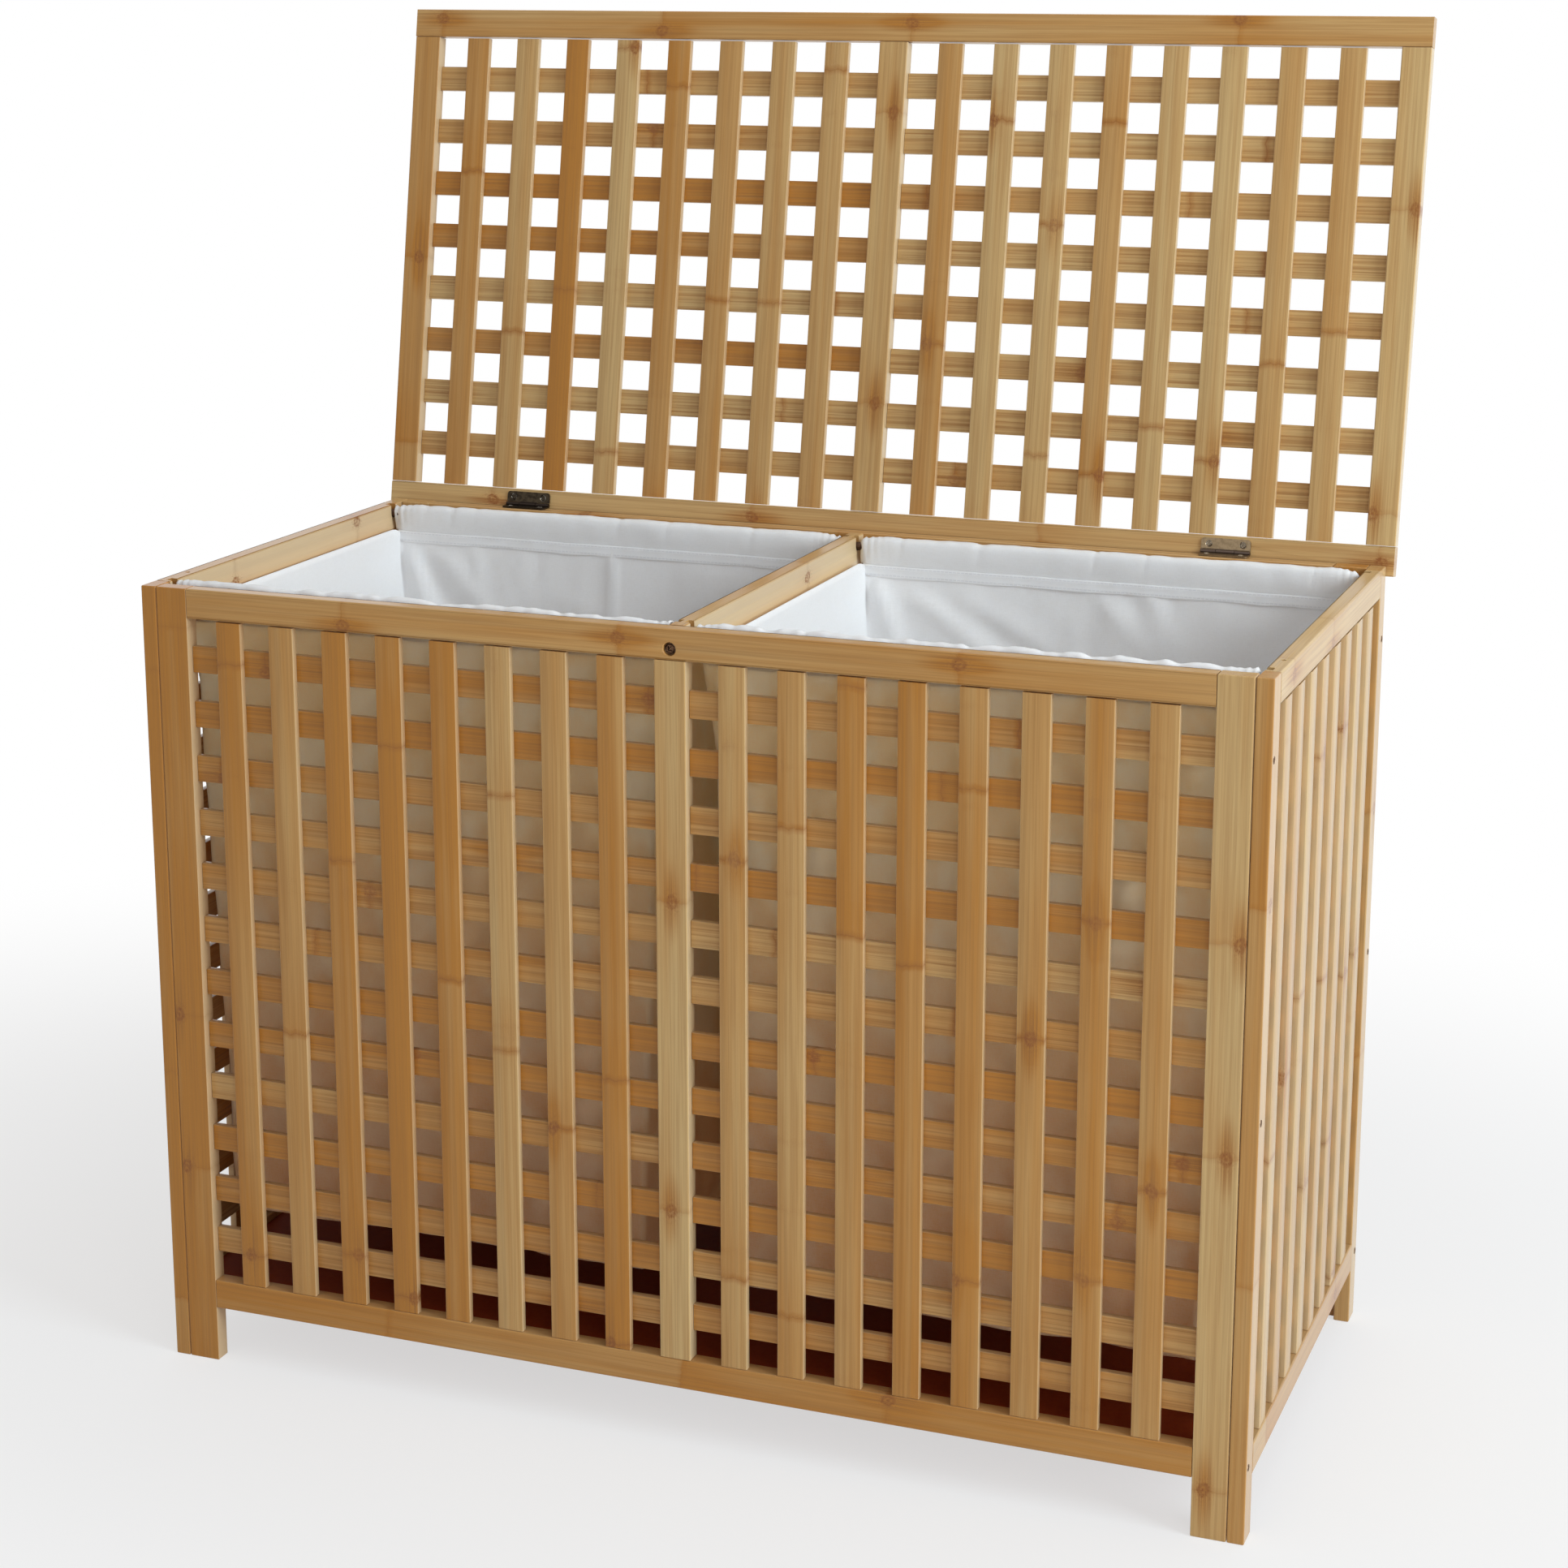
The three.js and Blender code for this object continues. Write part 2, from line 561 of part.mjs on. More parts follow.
const leftPanel = sidePanel("left", "back", "front", DEPTH - FIXING_HOLE_INSET);
leftPanel.position.set(0, DEPTH, 0);
leftPanel.rotation.z = -Math.PI / 2;

const rightPanel = sidePanel("right", "front", "back", FIXING_HOLE_INSET);
rightPanel.position.set(WIDTH, 0, 0);
rightPanel.rotation.z = Math.PI / 2;

const [railFace, farRailFace] = [SIDE_THICKNESS, WIDTH - SIDE_THICKNESS];
const hamper = new THREE.Group();
hamper.add(
  frontPanel,
  backPanel,
  leftPanel,
  rightPanel,
  bottom(),
  centreBar(),
  barScrewAt("centre_bar_front_screw", BAR_SCREW_SEAT, 0),
  barScrewAt("centre_bar_back_screw", DEPTH - BAR_SCREW_SEAT, Math.PI),
  ...rodsBetween("left", railFace - RAIL_NOTCH, BAR_LEFT + BAR_NOTCH),
  ...rodsBetween("right", BAR_RIGHT - BAR_NOTCH, farRailFace + RAIL_NOTCH),
  liner("left_liner", railFace, BAR_LEFT),
  liner("right_liner", BAR_RIGHT, farRailFace),
  ...Object.entries(HINGE_CENTRES).map(([side, x]) => fixedHinge(side, x)),
  lid(),
);
hamper.position.set(-WIDTH / 2, -OVERALL_DEPTH / 2, 0);

export default hamper;
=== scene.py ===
# Looks of a laundry hamper with two bins: slatted bamboo, two cotton liners, a lid on two bronze hinges.
# Metres, +Z up. X runs from left to right and Y from front to back.

import math
import random

import bmesh
import bpy
import numpy as np
from mathutils import Matrix, Vector, noise

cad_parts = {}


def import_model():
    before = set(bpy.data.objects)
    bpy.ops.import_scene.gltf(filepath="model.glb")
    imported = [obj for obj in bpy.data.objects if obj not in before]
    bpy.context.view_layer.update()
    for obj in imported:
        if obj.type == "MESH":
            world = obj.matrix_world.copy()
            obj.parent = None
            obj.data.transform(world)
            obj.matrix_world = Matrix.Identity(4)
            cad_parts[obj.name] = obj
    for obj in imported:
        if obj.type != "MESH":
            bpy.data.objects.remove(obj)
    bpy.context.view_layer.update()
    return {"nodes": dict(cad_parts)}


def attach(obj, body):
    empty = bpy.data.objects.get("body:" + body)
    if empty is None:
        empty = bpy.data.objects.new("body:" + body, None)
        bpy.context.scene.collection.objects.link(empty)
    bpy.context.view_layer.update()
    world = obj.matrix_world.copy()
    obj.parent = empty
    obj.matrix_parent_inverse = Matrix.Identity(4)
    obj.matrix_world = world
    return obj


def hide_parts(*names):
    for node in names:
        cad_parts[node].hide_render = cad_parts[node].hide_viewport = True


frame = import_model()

MM = 0.001
NODES = frame["nodes"]

# The camera of the photograph: its place, heading, fall and lens, and how far its frame is shifted down
CAMERA_PLACE = (0.7325, -1.942, 0.959)
CAMERA_TURN = 20.84
CAMERA_FALL = 12.88
CAMERA_LENS = 70.9
CAMERA_SHIFT = -0.08
CAMERA_CLIP_END = 50

# The lid leans back by this much from upright
LID_LEAN = math.radians(10)

# Slats: z stands and x lies. LINES is how dark their fibres are, and PALE_HIGHLIGHT how pale their cut sides are:
# partly the cut cane's own paler colour, partly a painted highlight for the sides that the lamps light.
UPRIGHTS = 8
LEVELS = 12
LID_LEVELS = 8
SLAT_WIDTH = 18 * MM
SLAT_THICKNESS = 5 * MM
SLAT_EASE = 0.5 * MM
SLAT_LINES = {"z": 0.28, "x": 0.50}
SLAT_PALE_HIGHLIGHT = {"z": 0.42, "x": 0.3}
UPRIGHT_GAP = 0.7 * MM

# The least length of an edge along a piece, and the most that counts as no distance
LONG_EDGE = 0.12
TOUCH = 1e-5
BEVEL_SEGMENTS = 3

# Without a seed of its own, noise_vector differs from run to run
SEED = 7
rng = random.Random(SEED)
noise.seed_set(SEED)


def linked(name, data):
    """A new object in the scene."""
    made = bpy.data.objects.new(name, data)
    bpy.context.scene.collection.objects.link(made)
    return made


def camera():
    data = bpy.data.cameras.new("camera")
    data.lens = CAMERA_LENS
    data.shift_y = CAMERA_SHIFT
    data.clip_end = CAMERA_CLIP_END
    made = linked("camera", data)
    made.location = CAMERA_PLACE
    made.rotation_euler = (math.radians(90 - CAMERA_FALL), 0, math.radians(CAMERA_TURN))
    bpy.context.scene.camera = made


camera()


# Node trees

class Tree:
    """The nodes of a new material or world, made with few words."""

    def __init__(self, name, owners=bpy.data.materials):
        self.owner = owners.new(name)
        self.owner.use_nodes = True
        self.nodes, self.links = self.owner.node_tree.nodes, self.owner.node_tree.links
        self.shader = self.nodes.get("Principled BSDF") or self.nodes["Background"]

    def place(self):
        return self.node("TexCoord").outputs["Object"]

    def split(self, vector):
        return self.node("SeparateXYZ", {0: vector}).outputs

    def node(self, kind, inputs=None, **settings):
        made = self.nodes.new("ShaderNode" + kind)
        for name, value in settings.items():
            setattr(made, name, value)
        for name, value in (inputs or {}).items():
            self.feed(made.inputs[name], value)
        return made

    def feed(self, socket, value):
        if isinstance(value, bpy.types.NodeSocket):
            self.links.new(value, socket)
        else:
            socket.default_value = value

    def math(self, operation, *values, clamp=False):
        made = self.nodes.new("ShaderNodeMath")
        made.operation = operation
        made.use_clamp = clamp
        for socket, value in zip(made.inputs, values):
            self.feed(socket, value)
        return made.outputs[0]

    def times(self, first, second):
        return self.math("MULTIPLY", first, second)

    def times_plus(self, first, second, more, clamp=False):
        return self.math("MULTIPLY_ADD", first, second, more, clamp=clamp)

    def apart(self, first, second):
        return self.math("ABSOLUTE", self.math("SUBTRACT", first, second))

    def stretched(self, vector, scale):
        return self.node("VectorMath", {0: vector, 1: scale}, operation="MULTIPLY").outputs[0]

    def noise(self, vector, scale, detail=2.0, roughness=0.5):
        """Noise between about 0 and 1, with its cells 1 / scale long on each axis."""
        inputs = {"Vector": self.stretched(vector, scale), "Scale": 1.0, "Detail": detail, "Roughness": roughness}
        return self.node("TexNoise", inputs).outputs["Fac"]

    def band(self, value, start, end):
        """1 where value is at start, smoothly 0 where it is at end."""
        inputs = {"Value": value, "From Min": start, "From Max": end, "To Min": 1.0, "To Max": 0.0}
        return self.node("MapRange", inputs, interpolation_type="SMOOTHSTEP").outputs["Result"]

    def blend(self, share, first, second, how="MIX"):
        made = self.node("Mix", data_type="RGBA", blend_type=how)
        self.feed(made.inputs["Factor"], share)
        self.feed(made.inputs["A"], first)
        self.feed(made.inputs["B"], second)
        return made.outputs["Result"]

    def set(self, **values):
        for name, value in values.items():
            self.feed(self.shader.inputs[name.replace("_", " ")], value)

    def bump(self, height, distance, strength=1.0):
        made = self.node("Bump", {"Height": height, "Distance": distance, "Strength": strength})
        self.links.new(made.outputs[0], self.shader.inputs["Normal"])


# Bamboo

STRAW = (0.66, 0.445, 0.195, 1)
TAN = (0.51, 0.215, 0.036, 1)
FIBRE = (0.34, 0.145, 0.036, 1)
KNUCKLE = (0.30, 0.105, 0.026, 1)
# The colour of pale cut sides: partly the cane's own paler colour, partly a painted highlight for the bright sides
# that the light from the right strikes
PALE_HIGHLIGHT = (0.82, 0.66, 0.42, 1)
# How deep a cut side is pale, and where its pale, partly a painted highlight, has faded out
PALE_HIGHLIGHT_DEPTH = (0.05 * MM, 0.4 * MM)
# How strong a knuckle's band is, the share of knuckles that have no knot, and how far apart they are
SLAT_KNUCKLES = (1.0, 0.52, 0.30)
PLANK_KNUCKLES = (0.30, 0.2, 0.21)

# Noise in the grain: cells to the metre across, through and along a strip
FIBRE_GRAIN = (620, 620, 7)
THREAD_GRAIN = (1900, 1900, 22)
STREAK_GRAIN = (130, 130, 2.2)
PATCH_GRAIN = (35, 35, 6)
WAVER_GRAIN = (160, 160, 0)
SPECK_GRAIN = (1000, 1000, 420)
SEAM_GRAIN = (780, 780, 5)

# A knuckle: where its band and its dark ring are whole and have faded, how far it wavers, and its tan above
KNUCKLE_BAND = (0.4 * MM, 4.5 * MM)
KNUCKLE_RING = (0.1 * MM, 0.9 * MM)
KNUCKLE_WAVER = 6 * MM
KNUCKLE_LIP = 1.5 * MM
ABOVE_REACH = 60 * MM

# A knot: half the width and the length of each part, where the ring in its eye is, and how far aside it may be
KNOT_EYE = (4.6 * MM, 6.0 * MM)
KNOT_HEART = (1.6 * MM, 2.2 * MM)
KNOT_FLAME = (8.5 * MM, 34 * MM)
KNOT_SPECKS = (9 * MM, 13 * MM)
EYE_RING = 0.62
KNOT_ASIDE = 8 * MM

# How tan each strip is, from a, straw, to e, tan: slats from left to right and from the bottom or hinge up, and
# then the planks of each tone
TONES = {
    "front_left_upright": "eceeebce",
    "front_right_upright": "bcdedcdc",
    # The front level slats' letters are partly painted shade: they were set tanner for the shade they lie in behind
    # the uprights
    "front_left_level": "cdeceedcddee",
    "front_right_level": "dceddecbeced",
    "lid_left_upright": "daeadcbb",
    "lid_right_upright": "caabaabb",
    "lid_left_level": "badadebb",
    "lid_right_level": "aaabacaa",
    "right_upright": "abaabbaa",
}
PLANK_TONES = {
    "a": "front_right_stile front_middle_stile lid_right_stile lid_hinge_rail right_top_rail",
    "b": "centre_bar lid_middle_stile back_top_rail left_back_post right_back_post",
    "c": "front_top_rail right_front_post lid_left_stile lid_front_rail right_bottom_rail",
    "d": "front_bottom_rail left_top_rail",
    "e": "front_left_stile left_front_post",
}
TONES.update((node, tone) for tone, nodes in PLANK_TONES.items() for node in nodes.split())


def tone_of(name, number=0):
    letter = TONES[name][number] if name in TONES else rng.choice("abbccddde")
    return 0.12 + 0.22 * "abcde".index(letter) + rng.uniform(-0.05, 0.05)


def nearest_knuckle(t, along, seed, waver, spacing):
    """How far along a strip its nearest knuckle is, three random numbers of that knuckle's own, and one of the
    length of cane between it and the next."""
    place = t.math("ADD", t.math("DIVIDE", along, spacing), seed)
    cell = t.math("FLOOR", place)
    draw = t.node("TexWhiteNoise", {"Vector": t.node("CombineXYZ", {0: cell, 1: seed}).outputs[0]})
    chances = t.split(draw.outputs["Color"])
    middle = t.times_plus(chances[0], 0.5, 0.25)
    signed = t.times(t.math("SUBTRACT", t.math("FRACT", place), middle), spacing)
    signed = t.math("ADD", signed, t.times_plus(waver, KNUCKLE_WAVER, -KNUCKLE_WAVER / 2))
    below = t.math("LESS_THAN", signed, 0.0)
    length = t.node("CombineXYZ", {0: t.math("SUBTRACT", cell, below), 1: seed, 2: 3.0}).outputs[0]
    return signed, chances, t.node("TexWhiteNoise", {"Vector": length}).outputs["Value"]


def knot(t, across, signed, chances, clear_share):
    """The knot that some knuckles have: its eye, its heart, the flame along it and the place of its specks."""
    has_knot = t.band(chances[2], clear_share + 0.01, clear_share)
    off = t.math("SUBTRACT", across, t.times_plus(chances[1], 2 * KNOT_ASIDE, -KNOT_ASIDE))

    def oval(width, length):
        wide, high = t.math("DIVIDE", off, width), t.math("DIVIDE", signed, length)
        return t.math("SQRT", t.math("ADD", t.times(wide, wide), t.times(high, high)))

    def part(value, start, end):
        return t.times(t.band(value, start, end), has_knot)

    ring = t.apart(oval(*KNOT_EYE), EYE_RING)
    heart, flame = part(oval(*KNOT_HEART), 0.3, 1.0), part(oval(*KNOT_FLAME), 0.1, 1.0)
    return part(ring, 0.05, 0.38), heart, flame, part(oval(*KNOT_SPECKS), 0.0, 1.0)


def bamboo(name, grain, tone, seed, lines, sides, knuckles):
    """Lacquered bamboo. grain gives the place across, through and along the strip in metres, from its middle;
    tone runs from 0, straw, to 1, tan; seed is a number of the strip's own; lines is how dark its fibres are;
    sides holds half of its width, and of its thickness if that is cut pale too, each with how pale it is there; that
    pale is partly a painted highlight."""
    t = Tree(name)
    local, tone, seed, lines = grain(t), tone(t), seed(t), lines(t)
    band_share, clear_share, spacing = knuckles
    across, through, along = t.split(local)
    own = t.node("CombineXYZ", {0: seed, 1: t.times(seed, 1.7), 2: t.times(seed, 2.3)})
    vector = t.node("VectorMath", {0: local, 1: own.outputs[0]}, operation="ADD").outputs[0]
    fibre = t.noise(vector, FIBRE_GRAIN, 3.0, 0.6)
    thread = t.noise(vector, THREAD_GRAIN)
    streak = t.noise(vector, STREAK_GRAIN)
    patch = t.noise(vector, PATCH_GRAIN)
    waver = t.noise(vector, WAVER_GRAIN)
    speck = t.noise(vector, SPECK_GRAIN, 2.0, 0.6)
    seam = t.noise(vector, SEAM_GRAIN, 1.0)

    signed, chances, cane = nearest_knuckle(t, along, seed, waver, spacing)
    eye, heart, flame, specks = knot(t, across, signed, chances, clear_share)
    far = t.math("ABSOLUTE", signed)
    knuckle, ring = t.band(far, *KNUCKLE_BAND), t.band(far, *KNUCKLE_RING)
    above = t.times(t.band(signed, 0.0, ABOVE_REACH), t.band(signed, 0.0, -KNUCKLE_LIP))

    # From straw to tan, and then darker fibres
    warm = tone
    for value, share in ((streak, 0.9), (patch, 0.7), (cane, 0.26)):
        warm = t.times_plus(t.math("SUBTRACT", value, 0.5), share, warm)
    warm = t.times_plus(knuckle, 0.28 * band_share, warm)
    warm = t.times_plus(above, 0.18, t.times_plus(flame, 0.50, warm), clamp=True)
    colour = t.blend(warm, STRAW, TAN)
    dark = t.times(t.band(fibre, 0.36, 0.62), t.times_plus(flame, 0.5, lines))
    colour = t.blend(dark, colour, FIBRE)
    cut = t.times(t.band(seam, 0.36, 0.44), t.times_plus(dark, 1.7, -0.40))
    threads = t.times_plus(t.band(thread, 0.30, 0.52), 0.20, cut, clamp=True)
    colour = t.blend(threads, colour, FIBRE)

    # Pale cut sides, partly a painted highlight, and then the marks of knuckles and knots
    for reach, (half, share) in zip((across, through), sides):
        start, end = (half - depth for depth in PALE_HIGHLIGHT_DEPTH)
        side = t.band(t.math("ABSOLUTE", reach), start, end)
        colour = t.blend(t.times(side, share(t)), colour, PALE_HIGHLIGHT)
    specks = t.times(t.band(speck, 0.40, 0.48), specks)
    marks = t.times(knuckle, 0.32 * band_share)
    for value, share in ((specks, 0.60), (eye, 0.50), (heart, 0.45)):
        marks = t.times_plus(value, share, marks)
    marks = t.times_plus(ring, 0.26 * band_share, marks, clamp=True)
    colour = t.blend(marks, colour, KNUCKLE)
    t.set(Base_Color=colour, Roughness=t.times_plus(fibre, 0.14, 0.28))
    t.set(Coat_Weight=0.75, Coat_IOR=1.2, Coat_Roughness=0.22, Specular_IOR_Level=0.2)
    height = t.times_plus(ring, 0.5, t.times_plus(thread, 0.35, fibre))
    t.bump(height, 0.1 * MM, 0.7)
    return t.owner


def stored_grain(t):
    return t.node("Attribute", attribute_name="grain").outputs["Vector"]


def stored(name):
    def value(t):
        return t.node("Attribute", attribute_name=name).outputs["Fac"]

    return value


def piece_grain(low, high, lean):
    """The grain of a CAD piece: along its longest side, and across its next."""
    size, middle = high - low, (low + high) / 2
    through, across, along = sorted(range(3), key=lambda axis: size[axis])

    def grain(t):
        place = t.place()
        if lean:
            place = t.node("Mapping", {"Vector": place, "Rotation": (lean, 0, 0)}).outputs[0]
        centred = t.node("VectorMath", {0: place, 1: middle}, operation="SUBTRACT").outputs[0]
        split = t.split(centred)
        return t.node("CombineXYZ", {0: split[across], 1: split[through], 2: split[along]}).outputs[0]

    return grain


def fixed(number):
    def value(t):
        return number

    return value


# Places in millimetres

BOX_WIDTH = 760
BOX_DEPTH = 360
ORIGIN = Vector((BOX_WIDTH / 2, 218.4902, 0))


def placed(x, y, z):
    """A point of the part, from millimetres off the box's front left lower corner."""
    return (Vector((x, y, z)) - ORIGIN) * MM


def ease(value):
    value = max(0.0, min(1.0, value))
    return value * value * (3 - 2 * value)


# Placing CAD shapes in a panel's own frame

def turned(axis, degrees):
    return Matrix.Rotation(math.radians(degrees), 4, axis)


PANELS = {"front": Matrix(), "back": turned("Z", 180), "left": turned("Z", -90), "right": turned("Z", 90)}
PANELS["lid"] = Matrix.Rotation(-LID_LEAN, 4, "X")


def own_box(node, turn):
    """A CAD node's lowest and highest corner in the frame of a panel that is turned."""
    back = turn.inverted()
    co = np.array([back @ v.co for v in NODES[node].data.vertices])
    return Vector(co.min(0)), Vector(co.max(0))


def new_object(name, mesh, material):
    mesh.materials.append(material)
    return linked(name, mesh)


def smooth(mesh, angle):
    """Smooth shading, but for edges sharper than the angle in degrees."""
    mesh.shade_smooth()
    mesh.set_sharp_from_angle(angle=math.radians(angle))


# Slats

def block(low, high):
    """A box between two corners, as a bmesh."""
    bm = bmesh.new()
    matrix = Matrix.Translation((low + high) / 2) @ Matrix.Diagonal((*(high - low), 1))
    bmesh.ops.create_cube(bm, size=1, matrix=matrix)
    return bm


def slat(name, low, high, along, turn, tone, material):
    """One slat as a box with rounded edges, with its grain's own place and its looks stored on it."""
    bm = block(low, high)
    long_edges = [e for e in bm.edges if e.calc_length() > LONG_EDGE]
    bmesh.ops.bevel(bm, geom=long_edges, offset=SLAT_EASE, segments=BEVEL_SEGMENTS, affect="EDGES", profile=0.5)
    mesh = bpy.data.meshes.new(name)
    bm.to_mesh(mesh)
    bm.free()
    order = {"x": (2, 1, 0), "z": (0, 1, 2)}[along]
    grain = mesh.attributes.new("grain", "FLOAT_VECTOR", "POINT")
    for v, place in zip(mesh.vertices, grain.data):
        place.vector = [(v.co - (low + high) / 2)[i] for i in order]
    looks = {"tone": tone, "seed": rng.uniform(0, 20), "lines": SLAT_LINES[along], "pale_highlight": SLAT_PALE_HIGHLIGHT[along]}
    for label, value in looks.items():
        values = mesh.attributes.new(label, "FLOAT", "POINT")
        values.data.foreach_set("value", [value] * len(mesh.vertices))
    mesh.transform(turn)
    smooth(mesh, 60)
    made = new_object(name, mesh, material)
    return made


def starts(low, high, count):
    """Where each of count slats starts, so that the gaps from low to high are equal."""
    gap = (high - low - count * SLAT_WIDTH) / (count + 1)
    return [low + gap + i * (gap + SLAT_WIDTH) for i in range(count)]


def slats(node, panel, levels, body, material):
    """The slats of one field: uprights outside, level slats glued behind them."""
    turn = PANELS[panel]
    low, high = own_box(node, turn)
    field = node.replace("_lattice", "")
    middle = low.y + SLAT_THICKNESS

    def add(kind, number, first, last, along):
        name, corners = f"{field}_{kind}", (Vector(first), Vector(last))
        piece = slat(f"{name}_{number + 1}", *corners, along, turn, tone_of(name, number), material)
        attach(piece, body)
        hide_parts(node)

    for i, x in enumerate(starts(low.x, high.x, UPRIGHTS)):
        add("upright", i, (x, low.y, low.z), (x + SLAT_WIDTH, middle, high.z - UPRIGHT_GAP), "z")
    for i, z in enumerate(starts(low.z, high.z, levels)):
        add("level", i, (low.x, middle, z), (high.x, middle + SLAT_THICKNESS, z + SLAT_WIDTH), "x")


SIDES, ENDS = ("left", "right"), ("front", "back")
FIELDS = [(f"{end}_{side}_lattice", end, LEVELS, "hamper") for end in ENDS for side in SIDES]
FIELDS += [(f"{side}_lattice", side, LEVELS, "hamper") for side in SIDES]
FIELDS += [(f"lid_{side}_lattice", "lid", LID_LEVELS, "lid") for side in SIDES]

SLAT_SIDES = [(SLAT_WIDTH / 2, stored("pale_highlight"))]
SLAT_LOOKS = [stored(label) for label in ("tone", "seed", "lines")]
slat_bamboo = bamboo("slat_bamboo", stored_grain, *SLAT_LOOKS, SLAT_SIDES, SLAT_KNUCKLES)
for field in FIELDS:
    slats(*field, slat_bamboo)


# Frames. Planks without holes are made anew and the others are copied from the CAD, so that their long edges are
# eased, but not where a rail meets them flush.

FRAME_ENDS = ("stile", "post", "rail", "bar", "batten")
WITH_HOLES = ("front_top_rail", "back_top_rail", "left_top_rail", "right_top_rail", "lid_hinge_rail", "centre_bar")
PLANK_EASE = 1.1 * MM
# Shares of PLANK_EASE: at holes and most ends, at the ends of legs, where a rail is flush, and round the
# countersunk hole, whose edges are shorter than RIM_EDGE
FINE_SHARE = 0.2
LEG_SHARE = 0.8
FLUSH_SHARE = 0.1
RIM_SHARE = 0.5
RIM_EDGE = 3 * MM
SHARP_FOLD = math.radians(35)
FLAT_FOLD = math.radians(0.5)
# Heights between which the rails meet the outer stiles
RAIL_JOINTS = ((39.2 * MM, 60.3 * MM), (529.7 * MM, 551 * MM))
PLANK_LINES = 0.28
# How pale a plank is cut at the ends of its width and of its thickness, by the end of its name; the pale is partly a
# painted highlight
PALE_HIGHLIGHT_SIDES = [("left_top_rail", 0.0, 0.7), ("post", 0.0, 0.25), ("bar", 0.1, 0.7), ("stile", 0.55, 0.0),
              ("rail", 0.15, 0.0), ("batten", 0.0, 0.0)]


def dress(node, material):
    """Gives a CAD node its material."""
    piece = NODES[node]
    piece.data.materials.clear()
    piece.data.materials.append(material)


def plank(node, low, high, jointed):
    """A plank's mesh, and how far each edge is eased: less where RAIL_JOINTS meets an outer stile."""
    size = high - low
    axis = max(range(3), key=lambda n: size[n])
    bm = block(low, high)
    if jointed:
        for level in [z for joint in RAIL_JOINTS for z in joint if z < high.z]:
            everything = bm.verts[:] + bm.edges[:] + bm.faces[:]
            bmesh.ops.bisect_plane(bm, geom=everything, plane_co=(0, 0, level), plane_no=(0, 0, 1))
    weights = bm.edges.layers.float.new("bevel_weight_edge")
    for e in bm.edges:
        a, b = (v.co for v in e.verts)
        middle, run = (a + b) / 2, abs((b - a)[axis])
        at_end = min(abs(middle[axis] - low[axis]), abs(middle[axis] - high[axis])) < TOUCH
        inner = abs(middle.x) < abs((low.x + high.x) / 2)
        if run > TOUCH:
            flush = jointed and inner and any(joint[0] < middle.z < joint[1] for joint in RAIL_JOINTS)
            e[weights] = FLUSH_SHARE if flush else 1.0
        elif at_end:
            e[weights] = LEG_SHARE if jointed or "post" in node else FINE_SHARE
    return bm


def drilled(node, turn):
    """The CAD's own mesh of a piece with holes, with the long edges eased more than the holes' and ends'."""
    bm = bmesh.new()
    bm.from_mesh(NODES[node].data)
    bm.transform(turn.inverted())
    bmesh.ops.remove_doubles(bm, verts=bm.verts[:], dist=TOUCH)
    bmesh.ops.dissolve_limit(bm, angle_limit=FLAT_FOLD, verts=bm.verts[:], edges=bm.edges[:])
    weights = bm.edges.layers.float.new("bevel_weight_edge")
    outer = min(v.co.y for v in bm.verts)
    for e in bm.edges:
        if len(e.link_faces) == 2 and e.calc_face_angle() > SHARP_FOLD:
            e[weights] = 1.0 if e.calc_length() > LONG_EDGE else FINE_SHARE
            on_face = all(v.co.y < outer + TOUCH for v in e.verts)
            if node == "front_top_rail" and e.calc_length() < RIM_EDGE and on_face:
                e[weights] = RIM_SHARE
    return bm


def frames():
    """Makes every frame piece anew, in bamboo of its own, over the CAD's."""
    for node in sorted(NODES):
        if not node.endswith(FRAME_ENDS):
            continue
        on_lid = node.startswith("lid_")
        turn = PANELS["lid" if on_lid else "front"]
        low, high = own_box(node, turn)
        grain = piece_grain(low, high, LID_LEAN if on_lid else 0)
        thickness, width, _ = sorted(high - low)
        shares = next(shares for ending, *shares in PALE_HIGHLIGHT_SIDES if node.endswith(ending))
        sides = [(size / 2, fixed(share)) for size, share in zip((width, thickness), shares)]
        tone, seed = fixed(tone_of(node)), fixed(rng.uniform(0, 20))
        material = bamboo(f"bamboo_{node}", grain, tone, seed, fixed(PLANK_LINES), sides, PLANK_KNUCKLES)
        jointed = node.endswith(("left_stile", "right_stile")) and not on_lid
        bm = drilled(node, turn) if node in WITH_HOLES else plank(node, low, high, jointed)
        mesh = bpy.data.meshes.new(f"{node}_eased")
        bm.to_mesh(mesh)
        bm.free()
        mesh.transform(turn)
        smooth(mesh, 35)
        made = new_object(f"{node}_eased", mesh, material)
        bevel = made.modifiers.new("bevel", "BEVEL")
        bevel.width = PLANK_EASE
        bevel.segments = BEVEL_SEGMENTS
        bevel.limit_method = "WEIGHT"
        bevel.use_clamp_overlap = False
        bevel.harden_normals = True
        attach(made, "lid" if on_lid else "hamper")
        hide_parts(node)


frames()


# Plain metals and board

# The hinges' axis as its y and z, and how far from it the knuckles' darker colour, a painted shade, is whole and has
# faded
HINGE_AXIS = (0.1416, 0.5518)
KNUCKLE_SHADE_REACH = (1.6 * MM, 2.6 * MM)


